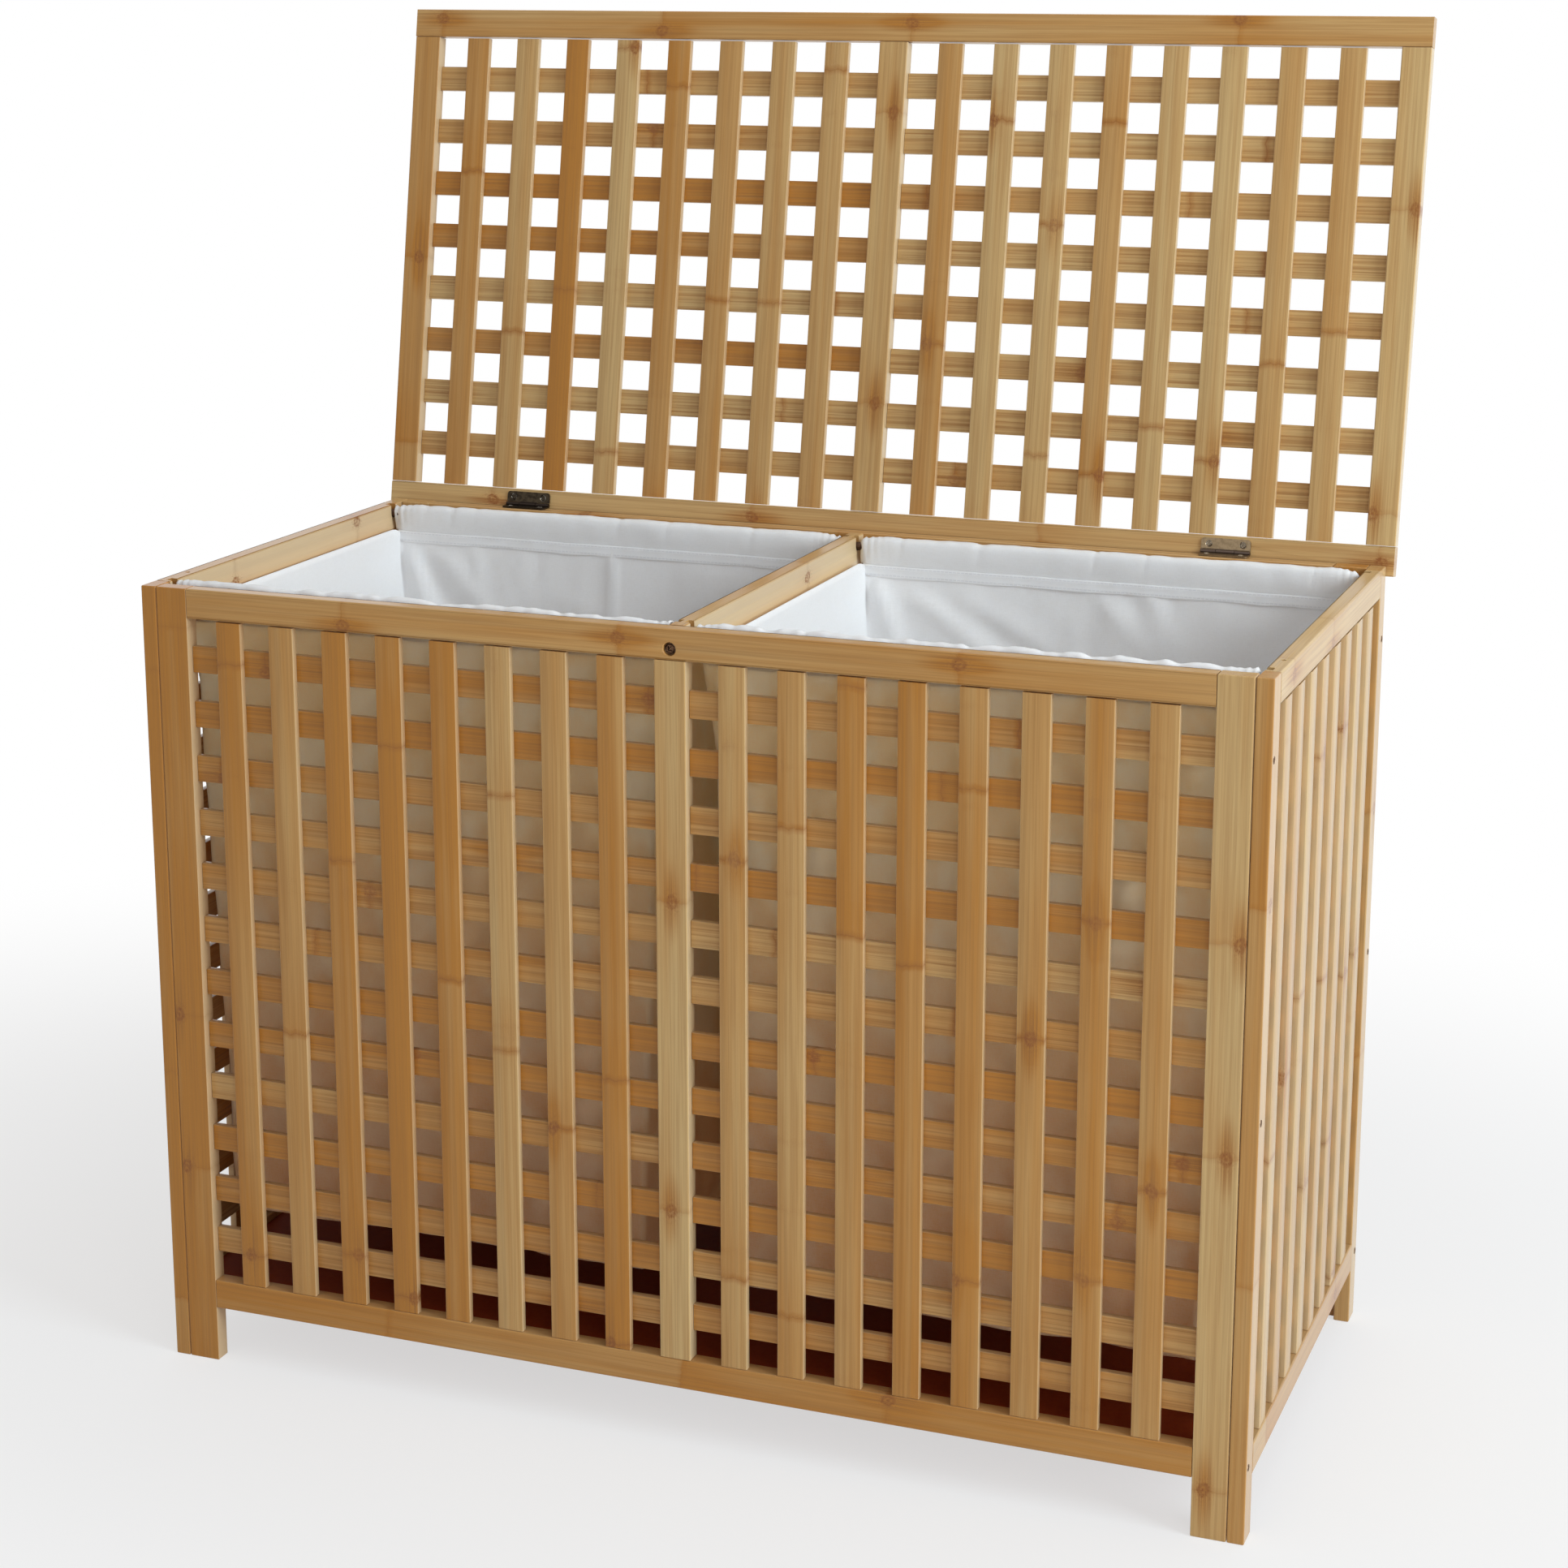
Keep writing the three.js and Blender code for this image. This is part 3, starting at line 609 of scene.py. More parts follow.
def metal(name, colour, roughness, stain, stain_share, worn=None, knuckle=None):
    """Stained metal. worn is its colour where a piece stores wear, and knuckle its darker colour by the hinges' axis,
    a painted shade on the knuckles.
    """
    t = Tree(name)
    place = t.place()
    cloud = t.noise(place, (300, 300, 300), 3.0, 0.6)
    grit = t.noise(place, (2600, 2600, 2600), 2.0)
    share = t.times(t.band(cloud, 0.62, 0.40), stain_share)
    colour = t.blend(share, colour, stain)
    if worn:
        colour = t.blend(t.times(stored("worn")(t), t.band(cloud, 0.35, 0.6)), colour, worn)
    # Painted shade: darker by the hinges' axis, where the knuckles are
    if knuckle:
        off = t.node("VectorMath", {0: place, 1: (0, *HINGE_AXIS)}, operation="SUBTRACT").outputs[0]
        off = t.node("VectorMath", {0: t.stretched(off, (0, 1, 1))}, operation="LENGTH").outputs["Value"]
        colour = t.blend(t.band(off, *KNUCKLE_SHADE_REACH), colour, knuckle)
    t.set(Base_Color=colour, Metallic=1.0)
    t.set(Roughness=t.times_plus(cloud, 0.25, roughness - 0.12))
    t.bump(grit, 0.02 * MM, 0.2)
    return t.owner


def hardboard():
    t = Tree("hardboard")
    place = t.place()
    fluff = t.noise(place, (240, 240, 240), 4.0, 0.65)
    fleck = t.noise(place, (1500, 1500, 1500), 2.0)
    colour = t.blend(fluff, (0.21, 0.017, 0.002, 1), (0.33, 0.05, 0.006, 1))
    t.set(Base_Color=colour, Roughness=t.times_plus(fleck, 0.2, 0.55), Specular_IOR_Level=0.2)
    t.bump(fleck, 0.1 * MM, 0.6)
    return t.owner


# Screw heads: shares of the radius, and of the height, from the middle outwards
HEAD = [(0.10, 1.0), (0.18, 1.0), (0.26, 0.99), (0.34, 0.98), (0.42, 0.96), (0.50, 0.93), (0.58, 0.89), (0.66, 0.84),
        (0.72, 0.76), (0.76, 0.30), (0.80, 0.18), (0.84, 0.26), (0.88, 0.62), (0.92, 0.78), (0.96, 0.74), (1.0, 0.35),
        (1.0, -0.5)]
HEAD_TURNS = 44
# The cross recess: its reach and half width as shares of the radius, its depth as a share of the height, and
# how far its sides and ends slope
CROSS_REACH, CROSS_WIDTH, CROSS_DEPTH = 0.56, 0.12, 0.75
CROSS_SIDE, CROSS_END = 0.04, 0.12


def screw_head(name, place, direction, radius, height, material, body, node=None):
    """A round head with a cross recess and a raised rim, its top at place, looking along direction."""
    out = Vector(direction)
    side = out.orthogonal().normalized()
    up = out.cross(side)
    start = rng.uniform(0, math.pi / 2)
    verts, rims = [], []

    def point(share, level, angle):
        u, v = share * math.cos(angle), share * math.sin(angle)
        arm = max(ease((CROSS_WIDTH + CROSS_SIDE - abs(c)) / CROSS_SIDE) for c in (u, v))
        sunk = CROSS_DEPTH * arm * ease((CROSS_REACH - share) / CROSS_END)
        spot = side * math.cos(angle + start) + up * math.sin(angle + start)
        verts.append(Vector(place) + spot * (share * radius) + out * ((level - 1 - sunk) * height))
        rims.append(ease((share - 0.8) / 0.08) + 0.6 * ease((sunk * 4 - 1)) * (1 - ease(sunk * 4 - 2)))

    point(0, 1, 0)
    for share, level in HEAD:
        for n in range(HEAD_TURNS):
            point(share, level, n * 2 * math.pi / HEAD_TURNS)
    faces = [(0, 1 + n, 1 + (n + 1) % HEAD_TURNS) for n in range(HEAD_TURNS)]
    for row in range(len(HEAD) - 1):
        a, b = 1 + row * HEAD_TURNS, 1 + (row + 1) * HEAD_TURNS
        for n in range(HEAD_TURNS):
            following = (n + 1) % HEAD_TURNS
            faces.append((a + n, b + n, b + following, a + following))
    last = 1 + (len(HEAD) - 1) * HEAD_TURNS
    faces.append([last + n for n in reversed(range(HEAD_TURNS))])
    mesh = bpy.data.meshes.new(name)
    mesh.from_pydata(verts, [], faces)
    worn = mesh.attributes.new("worn", "FLOAT", "POINT")
    worn.data.foreach_set("value", rims)
    smooth(mesh, 50)
    made = new_object(name, mesh, material)
    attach(made, body)
    if node:
        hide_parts(node)


def node_head(node, panel, direction, height, material, body):
    """A screw head in place of a CAD screw's, its top where the CAD's is."""
    turn = PANELS[panel]
    low, high = own_box(node, turn)
    out = Vector(direction)
    middle, half = (low + high) / 2, (high - low) / 2
    radius = sorted(half)[1]
    place = middle + Vector(d * h for d, h in zip(out, half))
    screw_head(f"{node}_head", turn @ place, turn.to_3x3() @ out, radius, height, material, body, node)


# Each metal's colour, roughness, stain, share of stain, and colour where it is worn and by the hinges' axis, the last
# a painted shade
METALS = {
    "bronze_painted_dark": ((0.060, 0.046, 0.030, 1), 0.36, (0.02, 0.014, 0.010, 1), 0.7, None, (0.03, 0.022, 0.018, 1)),
    "bronze": ((0.32, 0.235, 0.14, 1), 0.34, (0.17, 0.12, 0.07, 1), 0.45, None, (0.09, 0.065, 0.052, 1)),
    "screw_bronze": ((0.26, 0.21, 0.15, 1), 0.26, (0.10, 0.08, 0.06, 1), 0.4, (0.80, 0.75, 0.66, 1)),
    "screw_bronze_painted_dark": ((0.06, 0.048, 0.034, 1), 0.30, (0.03, 0.022, 0.016, 1), 0.4, (0.85, 0.80, 0.72, 1)),
    "dark_steel": ((0.17, 0.095, 0.055, 1), 0.45, (0.06, 0.033, 0.02, 1), 0.6, (0.50, 0.37, 0.26, 1)),
    "rod_steel": ((0.11, 0.065, 0.045, 1), 0.5, (0.04, 0.022, 0.015, 1), 0.6),
}
METAL = {name: metal(name, *values) for name, values in METALS.items()}
DARK_STEEL = METAL["dark_steel"]
# The left hinge and its screws take darker copies of the same bronze, a painted shade for the dark reflection they
# show
HINGE_BRONZE = {"left": METAL["bronze_painted_dark"], "right": METAL["bronze"]}
HINGE_SCREW = {"left": METAL["screw_bronze_painted_dark"], "right": METAL["screw_bronze"]}
HINGE_LEAVES = (("fixed", "front", (0, 0, 1), "hamper"), ("lid", "lid", (0, -1, 0), "lid"))

# How high each kind of screw's head is in metres, and where the posts' screws are in millimetres
HINGE_HEAD, BAR_HEAD, POST_HEAD = 0.6 * MM, 1.6 * MM, 0.5 * MM
POST_SCREW_LEVELS = (50, 275, 500)
POST_SCREW_INSET = 5.5
POST_SCREW_PROUD = 0.3
POST_SCREW_RADIUS = 2.4 * MM

dress("bottom_board", hardboard())
for side in SIDES:
    for end in ENDS:
        dress(f"{side}_{end}_rod", METAL["rod_steel"])
    for leaf, panel, direction, body in HINGE_LEAVES:
        dress(f"{side}_hinge_{leaf}_leaf", HINGE_BRONZE[side])
        for letter in "ab":
            name = f"{side}_hinge_{leaf}_screw_{letter}"
            node_head(name, panel, direction, HINGE_HEAD, HINGE_SCREW[side], body)
    dress(f"{side}_hinge_pin", DARK_STEEL)
node_head("centre_bar_front_screw", "front", (0, -1, 0), BAR_HEAD, DARK_STEEL, "hamper")
node_head("centre_bar_back_screw", "front", (0, 1, 0), BAR_HEAD, DARK_STEEL, "hamper")
for side, x, out in (("left", -POST_SCREW_PROUD, -1), ("right", BOX_WIDTH + POST_SCREW_PROUD, 1)):
    for end, y in (("front", POST_SCREW_INSET), ("back", BOX_DEPTH - POST_SCREW_INSET)):
        for number, z in enumerate(POST_SCREW_LEVELS):
            name = f"{side}_{end}_post_screw_{number + 1}"
            screw_head(name, placed(x, y, z), (out, 0, 0), POST_SCREW_RADIUS, POST_HEAD, DARK_STEEL, "hamper")


# Cotton

# Noise in the cloth: how many cells to the metre it has on each axis
WARP_GRAIN = (2200, 2200, 260)
WEFT_GRAIN = (260, 260, 2300)
RUMPLE_GRAIN = (30, 30, 18)
SOIL_GRAIN = (9, 9, 9)
MOTTLE_GRAIN = (22, 22, 15)
SOIL = (0.74, 0.71, 0.69, 1)
# Random patches where the outside's painted shade is lifted, lighter and more neutral: painted light for the light on
# its folds
MOTTLE_LIGHT = (1.03, 1.14, 1.32, 1)
# Heights at which the outside of the cloth has its lower tint alone, and its upper one: a painted shade, darker and
# browner towards the bag's floor
LOWER_TINT, UPPER_TINT = 0.10, 0.50
THREAD = (0.66, 0.66, 0.70, 1)
THREAD_WIDTH = (0.2 * MM, 0.6 * MM)
# How far light scatters in a bag's wall and in a hem, in metres
WALL_SCATTER, HEM_SCATTER = 3.6 * MM, 1.0 * MM


def cotton(name, shade, tint, lower=None, stitched=False):
    """Plain cotton, from shade to tint between its threads. lower is the tint near the bag's floor, and where it
    is given, shade is worked out from the tints; these tints are a painted shade, warm and darker towards the floor."""
    t = Tree(name)
    place = t.place()
    x, _, z = t.split(place)
    weave = t.math("ADD", t.noise(place, WARP_GRAIN, 2.0, 0.6), t.noise(place, WEFT_GRAIN, 2.0, 0.6))
    rumple = t.noise(place, RUMPLE_GRAIN)
    soil = t.noise(place, SOIL_GRAIN)
    if lower:
        mottle = t.noise(place, MOTTLE_GRAIN, 3.0, 0.55)
        # Painted shade: the tint darkens and browns towards the bag's floor, and random patches lift it towards white
        # as painted light on folds
        tint = t.blend(t.band(z, LOWER_TINT, UPPER_TINT), tint, lower)
        tint = t.blend(t.band(mottle, 0.60, 0.44), tint, MOTTLE_LIGHT, "MULTIPLY")
        shade = t.blend(0.92, (1, 1, 1, 1), tint)
    colour = t.blend(t.band(weave, 0.7, 1.15), shade, tint)
    colour = t.blend(t.times(soil, 0.08), colour, SOIL)
    height = weave
    if stitched:
        off = t.apart(t.apart(z, TAPE_MIDDLE), STITCH_ROW)
        dash = t.apart(t.math("FRACT", t.math("DIVIDE", x, STITCH_LENGTH)), 0.5)
        stitch = t.times(t.band(off, *THREAD_WIDTH), t.band(dash, 0.34, 0.42))
        colour = t.blend(t.times(stitch, 0.35), colour, THREAD)
        height = t.times_plus(stitch, -1.5, weave)
    t.set(Base_Color=colour, Roughness=0.9, Specular_IOR_Level=0.2, Sheen_Weight=0.10, Sheen_Roughness=0.4)
    t.set(Subsurface_Weight=1.0 if lower else 0.3, Subsurface_Scale=WALL_SCATTER if lower else HEM_SCATTER)
    t.set(Subsurface_Radius=(1.0, 0.93, 0.85))
    fine = t.node("Bump", {"Height": height, "Distance": 0.15 * MM, "Strength": 0.35})
    soft = t.node("Bump", {"Height": rumple, "Distance": 3.5 * MM, "Strength": 0.4, "Normal": fine.outputs[0]})
    t.links.new(soft.outputs[0], t.shader.inputs["Normal"])
    return t.owner


# Liners: each is a bag cut a little larger than its place, sewn under two casings that run round the rods

# Heights and places in millimetres
CLOTH_THICKNESS = 0.9
ROD_HEIGHT = 543
ROD_INSET = 25
WALL_INSET = 25.5
RAIL_BACK = 12
POCKETS = {"left": (11.0, 374.5), "right": (385.5, 749.0)}
POCKET_LOW, POCKET_HIGH = 60, 551
SEAM_HEIGHT = 530
SIDE_RISE = 3
BAG_FLOOR = 106
BAG_TOP_INSET = 6
BAG_FLOOR_INSET = 20
FRONT_INSET = 7
CORNER_DROP = 1.5
CORNER_REACH = 9
# How much wider and deeper than its place a bag is cut, and what share of its top is bunched at each end
SPARE_WIDTH, SPARE_DEPTH = 0.020, 0.008
BUNCHED_END = 0.08
# How far the bag stays off the pocket's sides and rails
POCKET_CLEAR, RAIL_CLEAR = 1.3, 0.8
GRID_ACROSS, GRID_DEEP, GRID_HIGH = 40, 35, 46
# The tape's middle, how far its two rows of stitches are from it, and how long a stitch is with its gap
TAPE_MIDDLE = (SEAM_HEIGHT - 3.8) * MM
STITCH_ROW = 2.8 * MM
STITCH_LENGTH = 3 * MM


def wall_place(end, inset):
    """Y of what lies inset from the front or the back of the box, and which way along Y the bag's inside is."""
    return (inset, 1) if end == "front" else (BOX_DEPTH - inset, -1)


def bunched(u):
    """Where a point u along the cut's top edge is sewn, from 0 to 1: flat in the middle, bunched at the ends."""
    half = 0.5 - BUNCHED_END
    away = abs(u - 0.5)
    middle = half * (1 + SPARE_WIDTH)
    if away <= half:
        reach = away * (1 + SPARE_WIDTH)
    else:
        reach = middle + (away - half) * (0.5 - middle) / BUNCHED_END
    return 0.5 + math.copysign(reach, u - 0.5)


def bag_grid(low, high):
    """The bag's places before it hangs, its cut, its faces and the index of each grid point."""
    index, start, cut, faces = {}, [], [], []
    front, back = WALL_INSET, BOX_DEPTH - WALL_INSET

    def at(i, j, k):
        if (i, j, k) in index:
            return index[i, j, k]
        u, v, t = i / GRID_ACROSS, j / GRID_DEEP, k / GRID_HIGH
        inset = BAG_FLOOR_INSET + (BAG_TOP_INSET - BAG_FLOOR_INSET) * t
        inset += FRONT_INSET * (1 - v) ** 2 * ease((1 - t) / 0.12)
        left, right = low + inset, high - inset
        near_top = ease((t - 0.8) / 0.2)
        x = left + (right - left) * (u * (1 - near_top) + bunched(u) * near_top)
        y = front + (back - front) * v
        z = BAG_FLOOR + (SEAM_HEIGHT - BAG_FLOOR) * t
        if j in (0, GRID_DEEP):
            z -= CORNER_DROP * near_top * math.exp(-(min(x - left, right - x) / CORNER_REACH) ** 2)
        else:
            z += SIDE_RISE * near_top
        middle = (left + right) / 2
        flat_x = middle + (left + (right - left) * u - middle) * (1 + SPARE_WIDTH)
        flat_y = BOX_DEPTH / 2 + (y - BOX_DEPTH / 2) * (1 + SPARE_DEPTH)
        index[i, j, k] = len(start)
        start.append(placed(x, y, z))
        cut.append(placed(flat_x, flat_y, z))
        return index[i, j, k]

    def face(*corners):
        faces.append([at(*corner) for corner in corners])

    for i in range(GRID_ACROSS):
        for k in range(GRID_HIGH):
            face((i, 0, k), (i, 0, k + 1), (i + 1, 0, k + 1), (i + 1, 0, k))
            face((i, GRID_DEEP, k), (i + 1, GRID_DEEP, k), (i + 1, GRID_DEEP, k + 1), (i, GRID_DEEP, k + 1))
        for j in range(GRID_DEEP):
            face((i, j, 0), (i + 1, j, 0), (i + 1, j + 1, 0), (i, j + 1, 0))
    for j in range(GRID_DEEP):
        for k in range(GRID_HIGH):
            face((0, j, k), (0, j + 1, k), (0, j + 1, k + 1), (0, j, k + 1))
            face((GRID_ACROSS, j, k), (GRID_ACROSS, j, k + 1), (GRID_ACROSS, j + 1, k + 1), (GRID_ACROSS, j + 1, k))
    return start, cut, faces, index


# The simulation: the cloth, how firmly the floor's edge is held, gravity's share, and for how many frames it hangs
CLOTH_SETTINGS = {"quality": 5, "mass": 0.12, "tension_stiffness": 40, "compression_stiffness": 40,
                  "shear_stiffness": 20, "bending_stiffness": 0.4, "air_damping": 1.5}
FLOOR_HOLD = 0.35
GRAVITY_SHARE = 0.35
HANG_FRAMES, QUICK_FRAMES = 34, 4


def hang(piece, cut, hems, floor_edge):
    """Lets the bag hang by its hems under its own weight, with the size of its cut."""
    group = piece.vertex_groups.new(name="held")
    group.add(hems, 1.0, "REPLACE")
    group.add(floor_edge, FLOOR_HOLD, "REPLACE")
    piece.shape_key_add(name="start")
    key = piece.shape_key_add(name="cut")
    key.value = 0
    for point, place in zip(key.data, cut):
        point.co = place
    cloth = piece.modifiers.new("cloth", "CLOTH")
    for setting, value in CLOTH_SETTINGS.items():
        setattr(cloth.settings, setting, value)
    cloth.settings.vertex_group_mass = "held"
    cloth.settings.rest_shape_key = key
    cloth.settings.effector_weights.gravity = GRAVITY_SHARE
    cloth.collision_settings.use_collision = False
    cloth.collision_settings.use_self_collision = False
    for number in range(1, HANG_FRAMES + 1):
        bpy.context.scene.frame_set(number)
    hung = bpy.data.meshes.new_from_object(piece.evaluated_get(bpy.context.evaluated_depsgraph_get()))
    piece.modifiers.clear()
    piece.shape_key_clear()
    piece.vertex_groups.clear()
    for v, new in zip(piece.data.vertices, hung.vertices):
        v.co = new.co
    bpy.data.meshes.remove(hung)
    bpy.context.scene.frame_set(1)


def subdivide(piece):
    """Subdivides the mesh itself, so that finer folds can be set into it."""
    subdivision = piece.modifiers.new("subdivision", "SUBSURF")
    subdivision.levels = subdivision.render_levels = 1
    finer = bpy.data.meshes.new_from_object(piece.evaluated_get(bpy.context.evaluated_depsgraph_get()))
    piece.modifiers.clear()
    piece.data = finer
    finer.shade_smooth()


def thicken(piece, offset=0.0, outside=None):
    """Gives cloth its thickness, with a material of its own on the side that its normals point away from."""
    solid = piece.modifiers.new("cloth_thickness", "SOLIDIFY")
    solid.thickness = CLOTH_THICKNESS * MM
    solid.offset = offset
    if outside:
        piece.data.materials.append(outside)
        solid.material_offset = 1


# Folds of the walls that show over the front rail and through the lattice, each from a point on the seam: how
# far from the wall's left edge and how far down it starts, its slope from upright, its width and height, and
# for a short one its length
FOLDS = {
    ("left", "back"): [(5, 2, 17, 8, 5.0), (10, 6, 31, 11, -4.5), (22, 4, 44, 9, 2.2), (175, -6, 1, 2.6, 3.0),
                       (340, 4, -28, 10, 3.6), (300, 14, -52, 11, -3.0), (120, 30, 62, 16, 2.0),
                       (60, 1, 12, 4, 1.6, 40), (118, 1, -10, 4, -1.4, 36)],
    ("right", "back"): [(5, 2, 20, 8, 3.8), (26, 8, 52, 9, 2.6), (44, 10, 58, 10, -2.4), (64, 12, 60, 9, 2.0),
                        (338, 4, -22, 11, 3.0), (200, 8, 30, 18, 1.4), (168, 2, 38, 5, 1.8, 46),
                        (190, 1, 30, 4.5, -1.5, 40), (208, 1, 26, 5, 1.6, 38), (232, 1, -18, 5, -1.4, 34)],
    ("left", "front"): [(8, 3, 16, 9, 4.0), (340, 4, -20, 11, -4.0), (190, 20, 8, 11, -3.0), (120, 70, -14, 9, 3.2),
                        (60, 150, 24, 8, -3.0), (260, 120, -30, 9, 2.8)],
    ("right", "front"): [(8, 3, 14, 9, -4.0), (338, 4, -24, 11, -4.0), (230, 30, 12, 11, 3.0), (90, 60, -10, 9, -3.0),
                         (150, 150, 30, 8, 2.8), (290, 90, -18, 9, -3.0)],
}
FOLD_LENGTH = 210
FOLD_STRENGTH = 1.45
# How far from a wall its folds are whole and have faded out, and how far from its sides they are whole
FOLD_WHOLE, FOLD_END = 12, 40
FOLD_SIDE = 12
# Wide and fine unevenness: its height, its length across and down, and how far below the seam it is whole
UNEVEN = ((2.0, 55, 80, 30), (0.55, 15, 34, 12))


def fold_walls(side, mesh):
    """Sets folds into the front and back walls of a hung bag, inwards where their height is positive."""
    low, high = POCKETS[side]
    for v in mesh.vertices:
        x, y, z = v.co / MM + ORIGIN
        down = SEAM_HEIGHT - z
        for end in ENDS:
            wall, inward = wall_place(end, WALL_INSET)
            share = 1 - ease((abs(y - wall) - FOLD_WHOLE) / (FOLD_END - FOLD_WHOLE))
            share *= ease(min(x - low - BAG_TOP_INSET, high - BAG_TOP_INSET - x) / FOLD_SIDE + 0.15)
            if share <= 0 or down < 0:
                continue
            move = 0.0
            for (size, wide, tall, reach), seed in zip(UNEVEN, (low, high)):
                move += size * noise.noise(Vector((x / wide, z / tall, seed))) * ease(down / reach)
            for start, depth, slope, width, height, *rest in FOLDS[side, end]:
                length = rest[0] if rest else FOLD_LENGTH
                run = down - depth
                across = x - (low + BAG_TOP_INSET + start + run * math.tan(math.radians(slope)))
                off = across * math.cos(math.radians(slope))
                growth = ease(run / min(22, length / 3)) * (1 - ease((run - 0.3 * length) / length))
                sharp = math.exp(-abs(off / width) ** 1.5)
                waver = 0.8 + 0.4 * noise.noise(Vector((run / 35, start, 0)))
                move += FOLD_STRENGTH * height * growth * sharp * waver
            v.co.y += inward * move * share * MM


# How far a bag's points are moved before it hangs, in metres, and at how many waves to the metre
BAG_RUMPLES = ((0.002, 14), (0.0008, 45))
# How sharp the bag's own edges stay
BAG_CREASE = 0.9


def bag(side):
    """A bag of cloth in its place, hung and folded."""
    low, high = POCKETS[side]
    start, cut, faces, index = bag_grid(low, high)
    walls = {n: (i in (0, GRID_ACROSS)) + (j in (0, GRID_DEEP)) + (k == 0) for (i, j, k), n in index.items()}
    top = [n for (i, j, k), n in index.items() if k == GRID_HIGH]
    rim = [n for (i, j, k), n in index.items() if k == 0 and walls[n] > 1]
    places = []
    for n, place in enumerate(start):
        moves = [] if n in top else [size * noise.noise_vector(place * waves) for size, waves in BAG_RUMPLES]
        places.append(sum(moves, place))
    mesh = bpy.data.meshes.new(f"{side}_bag")
    mesh.from_pydata(places, [], faces)
    made = new_object(f"{side}_bag", mesh, linen)
    hang(made, cut, top, rim)
    nearest = placed(low + POCKET_CLEAR, RAIL_BACK + RAIL_CLEAR, POCKET_LOW)
    furthest = placed(high - POCKET_CLEAR, BOX_DEPTH - RAIL_BACK - RAIL_CLEAR, POCKET_HIGH)
    for v in mesh.vertices:
        v.co = Vector(max(a, min(b, c)) for a, b, c in zip(nearest, furthest, v.co))
    crease = mesh.attributes.new("crease_edge", "FLOAT", "EDGE")
    for edge, value in zip(mesh.edges, crease.data):
        value.value = BAG_CREASE if all(walls[n] > 1 for n in edge.vertices) else 0.0
    subdivide(made)
    fold_walls(side, made.data)
    thicken(made, outside=linen_outside_painted_shade)
    return made


def sweep(name, low, high, step, profile, material):
    """A surface from low to high along X, through profile(x), a ring of points in millimetres, each as far
    along X as it is off x, and as its Y and Z."""
    count = round((high - low) / step)
    verts, faces = [], []
    for n in range(count + 1):
        x = low + (high - low) * n / count
        ring = profile(x)
        verts += [placed(x + dx, y, z) for dx, y, z in ring]
        size = len(ring)
        if n:
            a, b = (n - 1) * size, n * size
            for m in range(size):
                following = (m + 1) % size
                faces.append((a + m, a + following, b + following, b + m))
    mesh = bpy.data.meshes.new(name)
    mesh.from_pydata(verts, [], faces)
    bm = bmesh.new()
    bm.from_mesh(mesh)
    bmesh.ops.recalc_face_normals(bm, faces=bm.faces[:])
    bm.to_mesh(mesh)
    bm.free()
    mesh.shade_smooth()
    return new_object(name, mesh, material)


# A casing's section round its rod: how far towards the bag's inside, and how high above the rod's middle
CASING = [(-0.4, 4.4), (1.4, 4.1), (2.9, 3.1), (3.8, 1.5), (4.1, -0.4), (4.0, -2.4), (3.7, -4.6), (3.3, -7.0),
          (2.8, -9.4), (2.3, -11.6), (1.9, -13.6), (0.6, -13.8), (-0.4, -10.4), (-1.8, -7.2), (-3.2, -3.8),
          (-4.4, -0.8), (-5.0, 1.6), (-3.6, 3.6), (-2.0, 4.3)]
# A casing's gap at each end, how far it is bunched there, how long the folds there are, and its rings' distance
CASING_GAP = 3
PUCKER = 7
PUCKER_WAVE = 5.2
CASING_STEP = 1.6
# How far each casing's top is puffed up, how high it may reach, how it flutters and how deep it is pinched
CASING_LOOKS = {"front": (2.3, 550.6, 1.7, 1.0), "back": (3.4, 551.4, 0.35, 0.6)}
PINCHES = 7


def ripple(x, seed, *scales):
    """Smooth noise along X from about -1 to 1, a sum of waves that are scales millimetres long."""
    return sum(noise.noise(Vector((x / scale, seed, scale))) for scale in scales)


def casing(side, end):
    """The cloth that runs round a rod at the front or back of a liner."""
    low, high = POCKETS[side]
    low, high = low + CASING_GAP, high - CASING_GAP
    rod, inward = wall_place(end, ROD_INSET)
    seed = rng.uniform(0, 50)
    puff, highest, flutter, deepest = CASING_LOOKS[end]
    pinches = []
    for _ in range(PINCHES):
        pinches.append((rng.uniform(low + 25, high - 15), rng.uniform(1.6, 3.2), rng.uniform(0.3, deepest)))

    def section(x):
        away = min(x - low, high - x)
        bunch = math.exp(-away / PUCKER)
        tuck = 1 - 0.30 * math.exp(-(away / 2.6) ** 2)
        fold = 1.3 * bunch * math.sin(away * 2 * math.pi / PUCKER_WAVE + seed)
        lift = puff * (1 - 0.6 * bunch) + flutter * ripple(x, seed, 9, 16, 41)
        ring = []
        for reach, height in CASING:
            above = ease((height + 5) / 8)
            below = ease((-height - 6) / 6)
            pinch = sum(deep * math.exp(-((x - at - 0.25 * height) / wide) ** 2) for at, wide, deep in pinches)
            wave = 0.5 * ripple(x + 0.8 * height, seed + 7, 23, 60) * (1 - below)
            length = math.hypot(reach, height) or 1
            out = fold * (1 - 0.6 * below) + wave - pinch * (1 - 0.8 * below)
            near = reach * tuck + reach / length * out
            high_up = height * (1 - 0.12 * bunch) + (height / length * out + lift) * above
            high_up = min(high_up, highest - ROD_HEIGHT)
            ring.append((0.35 * bunch * ripple(height * 5, seed, 9), rod + inward * near, ROD_HEIGHT + high_up))
        return ring

    made = sweep(f"{side}_{end}_casing", low, high, CASING_STEP, section, linen)
    thicken(made, -1.0)
    return made


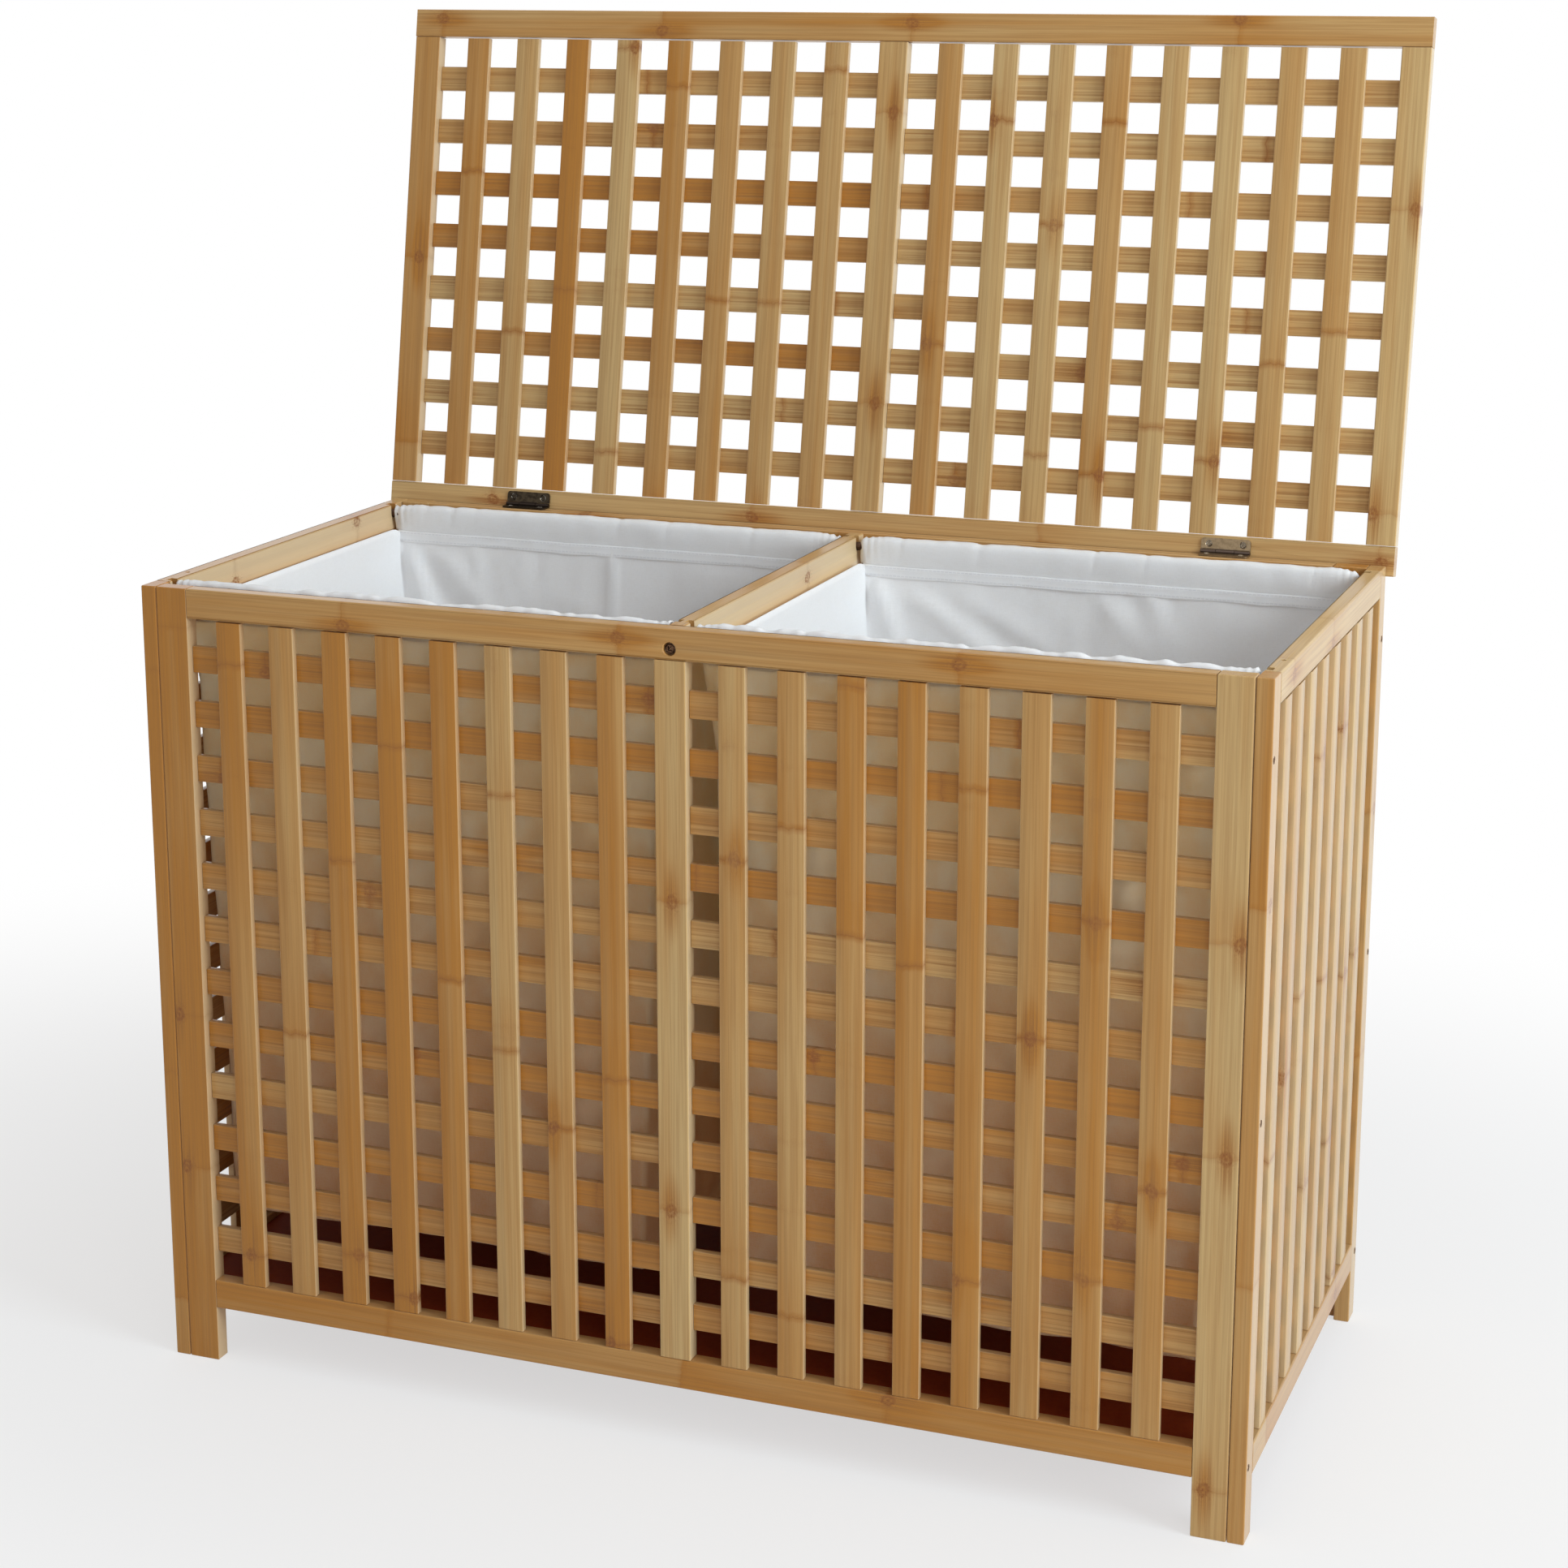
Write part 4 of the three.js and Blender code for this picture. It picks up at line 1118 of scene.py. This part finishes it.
# The tape that covers the seam: how far it stands off the wall, and how high it is above its middle
TAPE = [(0.3, 4.0), (2.1, 4.2), (2.4, 3.6), (2.1, 1.8), (1.9, 0.0), (1.8, -1.8), (1.9, -3.6), (1.6, -4.2),
        (0.2, -4.0)]
TAPE_STEP = 2.2
TAPE_SPARE = 1
TAPE_SHARP = 40


def tape(side, end):
    """The tape on the inside of the seam below a casing."""
    low, high = POCKETS[side]
    low, high = low + BAG_TOP_INSET - TAPE_SPARE, high - BAG_TOP_INSET + TAPE_SPARE
    wall, inward = wall_place(end, WALL_INSET)
    seed = rng.uniform(0, 50)

    def section(x):
        away = min(x - low, high - x)
        drop = 1.2 * math.exp(-(away / 6) ** 2) + 0.7 * ripple(x, seed, 24, 70)
        ring = []
        for reach, height in TAPE:
            pinch = 0.22 * ripple(x, seed + 3, 7, 17) * (1 if reach > 1 else 0)
            level = TAPE_MIDDLE / MM + height + (drop if height < 3 else 0.4 * drop)
            ring.append((0, wall + inward * (reach + pinch), level))
        return ring

    made = sweep(f"{side}_{end}_tape", low, high, TAPE_STEP, section, tape_linen)
    smooth(made.data, TAPE_SHARP)
    return made


def liner(side):
    """One bin's bag with its casings and tapes."""
    cloth = bag(side)
    trims = []
    for end in ENDS:
        trims += [casing(side, end), tape(side, end)]
    for piece in (cloth, *trims):
        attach(piece, "hamper")
        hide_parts(f"{side}_liner")


linen = cotton("linen", (0.935, 0.93, 0.93, 1), (0.905, 0.895, 0.89, 1))
# The bags' outside: the same white cotton painted a warm tan that darkens towards the floor, painted shade and warm
# bounce light from the bamboo
linen_outside_painted_shade = cotton("linen_outside_painted_shade", None, (0.97, 0.60, 0.35, 1), lower=(0.72, 0.395, 0.215, 1))
tape_linen = cotton("tape_linen", (0.95, 0.95, 0.96, 1), (0.94, 0.94, 0.95, 1), stitched=True)
for side in SIDES:
    liner(side)


# Floor, world and lamps

def studio_rays(t):
    """1 for the rays that show the background: straight from the camera, in gloss and through glass."""
    ways = t.node("LightPath").outputs
    seen = t.math("MAXIMUM", ways["Is Camera Ray"], ways["Is Glossy Ray"])
    return t.math("MAXIMUM", seen, ways["Is Transmission Ray"])


# The floor: its reach, how white it is near the object, where it turns pure white, and how much sooner along Y
FLOOR_REACH = 12
FLOOR_WHITE_NEAR = 0.62
FLOOR_FADE = (0.55, 1.5)
FLOOR_STRETCH = (1.0, 1.35, 0.0)
FLOOR_GREY = (0.88, 0.88, 0.88, 1)
# How strong the world's light is on the object
AMBIENT = 0.345

# Each lamp's name, place, aim, size, power and colour
LAMPS = [
    ("key", (3.04, -0.95, 1.68), (0, -0.1, 0.4), (1.3, 1.55), 69, (0.82, 0.93, 1.0)),
    ("front", (1.9, -2.6, 1.5), (0, -0.2, 0.4), (1.2, 1.2), 11.5, (1, 1, 1)),
    ("overhead", (0.2, 0.35, 2.9), (0, 0.0, 0.4), (2.0, 2.0), 15.5, (1, 1, 1)),
]


def floor():
    """A pale floor that keeps the soft shadow near the object and turns into the white of the world."""
    t = Tree("floor")
    t.set(Base_Color=FLOOR_GREY, Roughness=0.9, Specular_IOR_Level=0.2)
    place = t.stretched(t.place(), FLOOR_STRETCH)
    far = t.node("VectorMath", {0: place}, operation="LENGTH").outputs["Value"]
    fade = t.band(far, FLOOR_FADE[1], FLOOR_FADE[0])
    share = t.times_plus(fade, 1 - FLOOR_WHITE_NEAR, FLOOR_WHITE_NEAR)
    share = t.times(share, studio_rays(t))
    white = t.node("Emission")
    mixed = t.node("MixShader", {0: share, 1: t.shader.outputs[0], 2: white.outputs[0]})
    t.links.new(mixed.outputs[0], t.nodes["Material Output"].inputs["Surface"])
    mesh = bpy.data.meshes.new("floor")
    corners = [(x * FLOOR_REACH, y * FLOOR_REACH, 0) for x, y in ((-1, -1), (1, -1), (1, 1), (-1, 1))]
    mesh.from_pydata(corners, [], [(0, 1, 2, 3)])
    new_object("floor", mesh, t.owner)


def world():
    """White where it is seen, and a dimmer light of its own on the object."""
    t = Tree("studio", bpy.data.worlds)
    bpy.context.scene.world = t.owner
    strength = t.node("MapRange", {"Value": studio_rays(t), "To Min": AMBIENT, "To Max": 1.0})
    t.set(Color=(1, 1, 1, 1), Strength=strength.outputs["Result"])


def lamp(name, place, aim, size, power, colour):
    data = bpy.data.lights.new(name, "AREA")
    data.shape = "RECTANGLE"
    data.size, data.size_y = size
    data.energy = power
    data.color = colour
    made = linked(name, data)
    made.location = place
    made.rotation_euler = (Vector(aim) - Vector(place)).to_track_quat("-Z", "Y").to_euler()


floor()
world()
for values in LAMPS:
    lamp(*values)
bpy.context.scene.view_settings.view_transform = "Standard"
